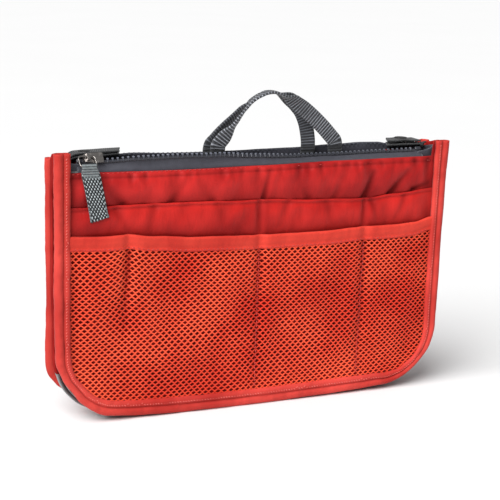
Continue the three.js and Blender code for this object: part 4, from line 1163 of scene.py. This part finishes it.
def curve_through(points):
    """A smooth closed-form line through points, by share of its length."""
    points = [Vector(p) for p in points]
    lengths = [0.0]
    for a, b in zip(points, points[1:]):
        lengths.append(lengths[-1] + (b - a).length)
    total = lengths[-1]
    shares = [value / total for value in lengths]
    def at(v):
        v = min(1.0, max(0.0, v))
        index = 0
        while index < len(points) - 2 and shares[index + 1] < v:
            index += 1
        p1, p2 = points[index], points[index + 1]
        p0 = points[index - 1] if index else p1 * 2 - p2
        p3 = points[index + 2] if index + 2 < len(points) else p2 * 2 - p1
        t = (v - shares[index]) / (shares[index + 1] - shares[index])
        return 0.5 * (
            2 * p1 + (p2 - p0) * t + (2 * p0 - 5 * p1 + 4 * p2 - p3) * t * t + (3 * p1 - p0 - 3 * p2 + p3) * t ** 3
        )
    return at, total


def webbing_handle(name, points, twist):
    """A handle's ribbon. twist lists (share, degrees) of its face, turned about its run from facing front."""
    centre, length = curve_through([(x, MID_Y + y, z) for x, y, z in points])
    def face(v):
        along = heading(centre, v, 0.01)
        return Matrix.Rotation(math.radians(through(twist, v)), 3, along) @ square_to(along, Vector((0, -1, 0)))
    return ribbon(name, centre, face, WEBBING_THICKNESS, 150, length)


# Each loop's middle line, y measured from the middle of the mouth
FRONT_LOOP = [
    (-26.8, 0.6, 172.3), (-26.2, 0.4, 175.6), (-22.6, -0.9, 180.6), (-19.4, -1.7, 184.4), (-15.7, -2.8, 189.6),
    (-13.2, -3.6, 193.6), (-10.1, -4.6, 198.2), (-6.1, -5.7, 203.3), (-1.2, -6.6, 207.4), (5.4, -6.9, 210.2),
    (12.7, -6.8, 209.4), (21.9, -6.0, 205.5), (28.0, -5.2, 201.7), (34.4, -4.3, 197.2), (41.6, -3.3, 191.6),
    (49.1, -2.0, 185.2), (55.8, -0.4, 178.8), (59.2, 0.4, 175.4), (60.0, 0.6, 172.3),
]
FRONT_TWIST = [
    (0, 0), (0.06, 8), (0.17, 58), (0.3, 70), (0.42, 88), (0.52, 92), (0.6, 42), (0.68, 12), (0.8, 2), (1, 0),
]
BACK_LOOP = [
    (-31.2, 2.9, 171.9), (-30.4, 3.0, 175.6), (-27.4, 3.5, 178.6), (-22.0, 4.6, 184.6), (-14.3, 5.5, 191.0),
    (-7.6, 6.3, 196.7), (-0.2, 7.2, 202.8), (6.5, 7.8, 206.6), (13.6, 8.0, 208.2), (19.2, 7.9, 207.4),
    (26.9, 7.3, 204.0), (32.5, 6.6, 199.6), (36.0, 5.9, 194.6), (38.6, 5.0, 188.0), (39.8, 4.2, 182.0),
    (40.3, 3.2, 176.4), (40.4, 2.9, 172.3),
]
BACK_TWIST = [(0, 0), (0.06, 14), (0.16, 34), (0.3, 40), (0.42, 84), (0.58, 90), (0.7, 30), (0.8, 0), (1, 0)]


# Where each handle's legs hang, y from the middle of the mouth
LEG_Y = {FRONT: 0.6, BACK: 2.9}
FOOT_INSET = 6.6


def handle_foot(side, node):
    """A handle's sewn end, from its seam on the lining up to the loop."""
    low, high = corners(node)
    leg_y = MID_Y + LEG_Y[side]
    x = (low.x + high.x) / 2
    rest = wall_y(side, low.z, FOOT_INSET)
    centre, length = curve_through([
        (x, rest, low.z), (x, rest, low.z + 8), (x, (rest * 0.7 + leg_y * 0.3), low.z + 15),
        (x, leg_y, high.z - 4.5), (x, leg_y, high.z),
    ])
    return ribbon(node + "_webbing", centre, lambda v: Vector((0, -1, 0)), WEBBING_THICKNESS - 0.1, 24, length)


# Where the pull hangs on the ring, its width, and how far its lower end swings to the right
PULL_PIVOT = Vector((-118.6, -12.96, 166.64))
PULL_WIDTH = 12.2
PULL_LEAN = 6.9


def pull():
    """The pull: a strip that passes round the ring's lower wire, both plies sewn, with a frayed slanted end."""
    low, high = corners("webbing_pull")
    drop = high.z - low.z - 4.2
    def ply(side):
        def place(u, v):
            v = 1 - v if side == 1 else v
            run = v * (drop + 2.4)
            z = PULL_PIVOT.z + 1.9 - run
            x_shift = PULL_LEAN * max(0, run - 2) / drop
            narrow = 1 - 0.22 * smooth(7, 2, run)
            across = (u - 0.5) * PULL_WIDTH * narrow
            fray = ripple(across, 0, 61 + side, 0.9, 1) * 0.9
            ragged = (fray + across * 0.26) * smooth(0.86, 1, v)
            round_out = math.sqrt(max(0.0, 1 - max(0, 2.0 - run) ** 2 / 4))
            gap = 0.95 * (smooth(6.5, 2.2, run) * round_out) + 0.42
            belly = 0.5 * math.sin(math.pi * min(1, max(0, (run - 4) / (drop - 4))))
            edge = 0.25 * max(0, (abs(2 * u - 1) - 0.75) / 0.25) ** 2
            y = PULL_PIVOT.y - belly - side * (gap - edge)
            return (PULL_PIVOT.x + x_shift + across, y, z + ragged)
        return cloth("pull_ply", 22, 90, place, PULL_WIDTH, drop, 0.75)
    return join("checked_pull_webbing", [ply(1), ply(-1)])


# Snap straps


SNAP_X = 115.2
SNAP_Y = sum(corners("left_snap_cap")[i].y for i in (0, 1)) / 2
SNAP_BEVEL = ("BEVEL", {"width": 0.12 * MM, "segments": 2, "limit_method": "ANGLE"})
# Each strap's tilt and lift, the bulge over its snap, what is cut off its free end, and how that end slants
STRAP_TILT = {LEFT: 1.2, RIGHT: 0.5}
STRAP_LIFT = {LEFT: -0.3, RIGHT: 0.4}
SNAP_BULGE = {LEFT: 0.5, RIGHT: 1.3}
STRAP_CUT = {LEFT: 5.2, RIGHT: 11.0}
STRAP_SLANT = 0.44
# How far a lower strap runs on past its upper one, how far it rises there, and its free end's dip
STRAP_ROOT = {LEFT: 0.0, RIGHT: 4.4}
ROOT_RISE = {LEFT: 0.0, RIGHT: 2.7}
TIP_DIP = {LEFT: -0.6, RIGHT: 0.35}


def strap_rise(end, x):
    """How far the upper strap lies above its level at x: it rises from its root to its free end."""
    return STRAP_TILT[end] * (smooth(130, 88, abs(x)) - 0.9) + STRAP_LIFT[end]


def snap_strap(name, end, node, upper):
    low, high = corners(node)
    sewn = 0 if upper else STRAP_ROOT[end]
    root = abs(low.x if end < 0 else high.x) + sewn
    length = high.x - low.x - STRAP_CUT[end] + sewn
    def place(u, v):
        y = (low.y + high.y) / 2 + (u - 0.5) * (high.y - low.y) * end
        x = end * (root - v * length) + v * (y - low.y) * STRAP_SLANT
        wave = ripple(x, y, 37 + end + upper, 14, 12) * 0.12
        away = math.hypot(abs(x) - SNAP_X, y - SNAP_Y)
        if upper:
            rise = strap_rise(end, x) + SNAP_BULGE[end] * smooth(8.5, 1.5, away)
        else:
            rise = 0.45 * strap_rise(end, x) - TIP_DIP[end] * smooth(0.5, 1, v)
            rise += ROOT_RISE[end] * smooth(129.5, 130.6, abs(x))
        return (x, y, high.z - 0.06 + wave + rise)
    return cloth(name, 24, 60, place, 12, 38, 1.15)


def seated_cap(end, node):
    """A snap's cap, pressed down into the upper strap."""
    piece = rounded_copy(node, f"{ENDS[end]}_press_cap", SNAP_BEVEL)
    low, high = corners(node)
    top = corners(node.replace("cap", "strap"))[1].z + strap_rise(end, SNAP_X) + SNAP_BULGE[end]
    for vertex in piece.data.vertices:
        share = (vertex.co.z / MM - low.z) / (high.z - low.z)
        vertex.co.z = (top - 0.45 + 0.6 * share) * MM
    return piece


# Sewing thread


# A stitch's length, width and height, the step of a level row, and the stitches round one binding
STITCH = (1.9, 0.42, 0.32)
STITCH_STEP = 3.2
BINDING_STITCHES = 300


def stitches(name, path, count, size=STITCH):
    """A row of short thread stitches: path(share) gives a point, the run and the way out, in mm."""
    shape = start(bpy.ops.mesh.primitive_cylinder_add, vertices=6, radius=0.5, depth=1)
    shape.data.transform(Matrix.Rotation(math.pi / 2, 4, "Y"))
    mesh = open_mesh("SELECT")
    edges = [edge for edge in mesh.edges if abs(edge.verts[0].co.x - edge.verts[1].co.x) > 0.5]
    bmesh.ops.subdivide_edges(mesh, edges=edges, cuts=2)
    for vertex in mesh.verts:
        end = abs(vertex.co.x) * 2
        if end > 0.9:
            vertex.co.y *= 0.35
            vertex.co.z = vertex.co.z * 0.35 - 0.55
    bmesh.update_edit_mesh(shape.data)
    close_mesh()
    made = []
    for i in range(count):
        point, along, out = path((i + 0.5) / count)
        along = along.normalized()
        out = square_to(along, out)
        matrix = frame_matrix(point, along * size[0], out.cross(along) * size[1], out * size[2])
        made.append(placed(shape, "stitch", matrix))
    bpy.data.objects.remove(shape)
    return shaded(join(name, made))


def binding_stitches(side):
    def path(share):
        spot, inward, length = outline(0.004 + 0.992 * share)
        along = Vector((inward.z, 0, -inward.x))
        outer, inner = BINDING_LINES[side]
        edge = through(outer, share)
        zigzag = 0.05 if round(share * BINDING_STITCHES) % 2 else -0.05
        point = spot + inward * (edge + (through(inner, share) - edge) * (0.8 + zigzag))
        along = along + inward * zigzag * 16
        y = wall_y(side, max(0, point.z), -0.3)
        return Vector((point.x, y, point.z)), along, Vector((0, side, 0))
    return stitches(f"{SIDES[side]}_binding_thread", path, BINDING_STITCHES, (1.5, 0.5, 0.36))


def level_stitches(name, height, inset):
    """A row of stitches across the front, at height(x) and as far in as inset(x, z)."""
    x0, x1 = -(HALF_WIDTH - BINDING_WIDTH) + 1, HALF_WIDTH - BINDING_WIDTH - 1
    def path(share):
        x = x0 + (x1 - x0) * share
        z = height(x)
        return Vector((x, wall_y(FRONT, z, inset(x, z)), z)), Vector((1, 0, height(x + 1) - z)), Vector((0, FRONT, 0))
    return stitches(name, path, int(abs(x1 - x0) / STITCH_STEP))


def divider_stitches(name, x):
    def path(share):
        z = 106 - 93 * share
        y = wall_y(FRONT, z, NET_INSET - net_stand(x, z) - 0.3)
        return Vector((x + ripple(x, z, 15, 30, 12) * 0.5, y, z)), Vector((0, 0, 1)), Vector((0, FRONT, 0))
    return stitches(name, path, 34, (2.0, 0.6, 0.4))


# Build

dress(wall_panel(FRONT, 3, SLIP_TOP, PANEL_CREASES), "front_half", RED_PANEL, "red_nylon", "front_panel", "front_foam")
dress(
    slip_pocket(FRONT, SLIP_TOP, HEM_TOP, DIVIDERS, SLIP_CREASES, 11),
    "front_half", RED_POCKET, "red_nylon", "front_slip_pocket",
)
dress(net(), "front_half", RED_NET, "red_mesh", "mesh_pocket")
dress(hem(), "front_half", RED_HEM, "red_binding", "mesh_pocket_hem")
dress(binding(FRONT, 17), "front_half", RED_BINDING, "red_binding", "front_binding")
dress(lining(FRONT, 21), "front_half", GREY_NYLON, "grey_nylon", "front_lining")

BACK_TOP = [(-132, 127.5), (-40, 125.6), (0, 126.4), (60, 125.2), (132, 127.4)]
BACK_CREASES = [
    (-70, 128, -78, 150, 4, 0.9), (20, 128, 30, 150, 4, 0.8), (90, 128, 84, 146, 4, 0.8), (110, 128, 124, 140, 3, 0.9),
]
dress(wall_panel(BACK, 41, BACK_TOP, BACK_CREASES), "back_half", RED_PANEL, "red_nylon", "back_panel", "back_foam")
dress(slip_pocket(BACK, BACK_TOP, [(0, 20)], (0.0,), [], 44), "back_half", RED_POCKET, "red_nylon", "back_slip_pocket")
dress(binding(BACK, 48), "back_half", RED_BINDING, "red_binding", "back_binding")
dress(lining(BACK, 52), "back_half", GREY_NYLON, "grey_nylon", "back_lining")
dress(inner_pocket(), "back_half", GREY_NYLON, "grey_nylon", "inner_pocket")

for name, low_share, high_share, seed, material, slot_name, node in (
    ("left_gusset_cloth", 0.0, 0.246, 57, SHADED_RED_GUSSET, "red_nylon", "left_gusset"),
    ("base_strip_cloth", 0.246, 0.754, 59, GREY_NYLON, "grey_nylon", "base_strip"),
    ("right_gusset_cloth", 0.754, 1.0, 63, SHADED_RED_GUSSET, "red_nylon", "right_gusset"),
):
    piece = dress(band(name, low_share, high_share, seed, 110), None, material, slot_name, node)
    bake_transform(piece)

for side, body in ((FRONT, "front_half"), (BACK, "back_half")):
    name = SIDES[side]
    dress(tape(side), body, ZIP_TAPE, "zip_tape", f"{name}_zip_tape")
    # The back row of teeth takes the darker copy of the plastic: painted shade
    dress(teeth(side), body, PLASTIC if side == FRONT else SHADED_PLASTIC, "zip_plastic", f"{name}_zip_teeth")
    dress(stop(side, LEFT), body, PLASTIC, "zip_plastic", f"{name}_bottom_stop")
    dress(stop(side, RIGHT), body, PLASTIC, "zip_plastic", f"{name}_top_stop")
    for end in ("left", "right"):
        node = f"{name}_handle_{end}_end"
        dress(handle_foot(side, node), body, SHADED_FOOT_WEBBING, "webbing", node)
    dress(binding_stitches(side), body, PALE_THREAD, "red_binding")

for end in (LEFT, RIGHT):
    piece = dress(tape_end(end), None, ZIP_TAPE, "zip_tape")
    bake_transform(piece)
for name, x in (("middle", DIVIDERS[0]), ("right", DIVIDERS[1])):
    dress(divider_stitches(f"{name}_divider_thread", x), "front_half", RED_THREAD, "red_nylon")

slider_bevel = ("BEVEL", {"width": 0.6 * MM, "segments": 3, "limit_method": "ANGLE"})
slider = rounded_copy("zip_slider", "slider_body", slider_bevel)
# The bail's arch is pressed down by a share of its height above its spring
BAIL_SPRING = 170.6
BAIL_PRESS = 0.3
for vertex in slider.data.vertices:
    vertex.co.z -= BAIL_PRESS * max(0.0, vertex.co.z - BAIL_SPRING * MM)
dress(slider, "slider", SLIDER_METAL, "dark_metal", "zip_slider")
ring = rounded_copy("pull_ring", "wire_ring", ("SUBSURF", {"levels": 2, "render_levels": 2}))
dress(ring, "ring", BRIGHT_METAL, "dark_metal", "pull_ring")
dress(pull(), "pull", PULL_WEBBING, "pull_webbing", "webbing_pull")

front_loop = webbing_handle("front_handle_webbing", FRONT_LOOP, FRONT_TWIST)
dress(front_loop, "front_handle_loop", WEBBING, "webbing", "front_handle")
back_loop = webbing_handle("back_handle_webbing", BACK_LOOP, BACK_TWIST)
dress(back_loop, "back_handle_loop", BACK_WEBBING, "webbing", "back_handle")

for end, name in ENDS.items():
    lower = snap_strap(f"{name}_lower_strap_webbing", end, f"{name}_strap_base", 0)
    dress(lower, "back_half", STRAP_WEBBING, "webbing", f"{name}_strap_base")
    upper = snap_strap(f"{name}_upper_strap_webbing", end, f"{name}_snap_strap", 1)
    dress(upper, f"{name}_strap", STRAP_WEBBING, "webbing", f"{name}_snap_strap")
    for part, body in (("stud", "back_half"), ("socket", f"{name}_strap")):
        node = f"{name}_snap_{part}"
        dress(rounded_copy(node, f"{name}_press_{part}", SNAP_BEVEL), body, METAL, "dark_metal", node)
    dress(seated_cap(end, f"{name}_snap_cap"), f"{name}_strap", METAL, "dark_metal", f"{name}_snap_cap")

top_thread = level_stitches("panel_top_thread", lambda x: WALL_TOP - 1.6, lambda x, z: SHELL_INSET - 0.35)
dress(top_thread, "front_half", RED_THREAD, "red_nylon")
hem_thread = level_stitches(
    "hem_lower_thread",
    lambda x: through(HEM_TOP, x) - HEM_HEIGHT + 1.4,
    lambda x, z: NET_INSET - net_stand(x, z) - 0.75,
)
dress(hem_thread, "front_half", RED_THREAD, "red_binding")

# Floor, lights and camera

FLOOR = -4.6
floor = start(bpy.ops.mesh.primitive_plane_add, size=40, location=(0, 0, FLOOR * MM))
floor.name = "floor"
floor_paint = Paint("pale_floor")
floor_colour = floor_paint.mix(floor_paint.noise(3, 2), (0.79, 0.79, 0.79), (0.81, 0.81, 0.81))
floor.data.materials.append(floor_paint.finish(floor_colour, 0.7))

world = bpy.data.worlds.new("studio")
bpy.context.scene.world = world
world.use_nodes = True
sky = world.node_tree.nodes["Background"].inputs
sky["Color"].default_value = (1, 1, 1, 1)
sky["Strength"].default_value = 0.27


def studio_lamp(name, kind, power):
    """A light and the object that carries it."""
    light = bpy.data.lights.new(name, kind)
    light.energy = power
    lamp = bpy.data.objects.new(name, light)
    bpy.context.collection.objects.link(lamp)
    return light, lamp


window, window_lamp = studio_lamp("window", "SUN", 4.42)
window.angle = math.radians(50)
window_lamp.rotation_euler = Vector((-0.72, -0.48, 0.95)).to_track_quat("Z", "Y").to_euler()
softbox, softbox_lamp = studio_lamp("key_softbox", "AREA", 3)
softbox.shape = "RECTANGLE"
softbox.size = softbox.size_y = 0.5
softbox_lamp.location = (-0.9, -0.7, 0.9)
softbox_lamp.rotation_euler = (Vector((0, 0, 0.1)) - Vector((-0.9, -0.7, 0.9))).to_track_quat("-Z", "Y").to_euler()

CAMERA_AZIMUTH = math.radians(-23.854)
CAMERA_RISE = math.radians(14.272)
CAMERA_ROLL = math.radians(1.898)
CAMERA_DISTANCE = 0.887477
CAMERA_TARGET = Vector((0, MID_Y * MM, 0.0875))
FOCAL_PIXELS = 1300
FRAME_PIXELS = 500
CENTRE_PIXEL = (251.078, 271.426)

back_way = Vector((
    math.sin(CAMERA_AZIMUTH) * math.cos(CAMERA_RISE),
    -math.cos(CAMERA_AZIMUTH) * math.cos(CAMERA_RISE),
    math.sin(CAMERA_RISE),
))
level_right = Vector((math.cos(CAMERA_AZIMUTH), math.sin(CAMERA_AZIMUTH), 0))
level_up = back_way.cross(level_right)
right_way = level_right * math.cos(CAMERA_ROLL) + level_up * math.sin(CAMERA_ROLL)
up_way = level_up * math.cos(CAMERA_ROLL) - level_right * math.sin(CAMERA_ROLL)
camera_data = bpy.data.cameras.new("camera")
camera = bpy.data.objects.new("camera", camera_data)
bpy.context.collection.objects.link(camera)
turn = Matrix((right_way, up_way, back_way)).transposed().to_4x4()
camera.matrix_world = Matrix.Translation(CAMERA_TARGET + back_way * CAMERA_DISTANCE) @ turn
camera_data.sensor_width = 36
camera_data.lens = camera_data.sensor_width * FOCAL_PIXELS / FRAME_PIXELS
camera_data.shift_x = (FRAME_PIXELS / 2 - CENTRE_PIXEL[0]) / FRAME_PIXELS
camera_data.shift_y = (CENTRE_PIXEL[1] - FRAME_PIXELS / 2) / FRAME_PIXELS
camera_data.clip_start = 0.01
bpy.context.scene.camera = camera
bpy.context.scene.view_settings.view_transform = "Standard"

import json
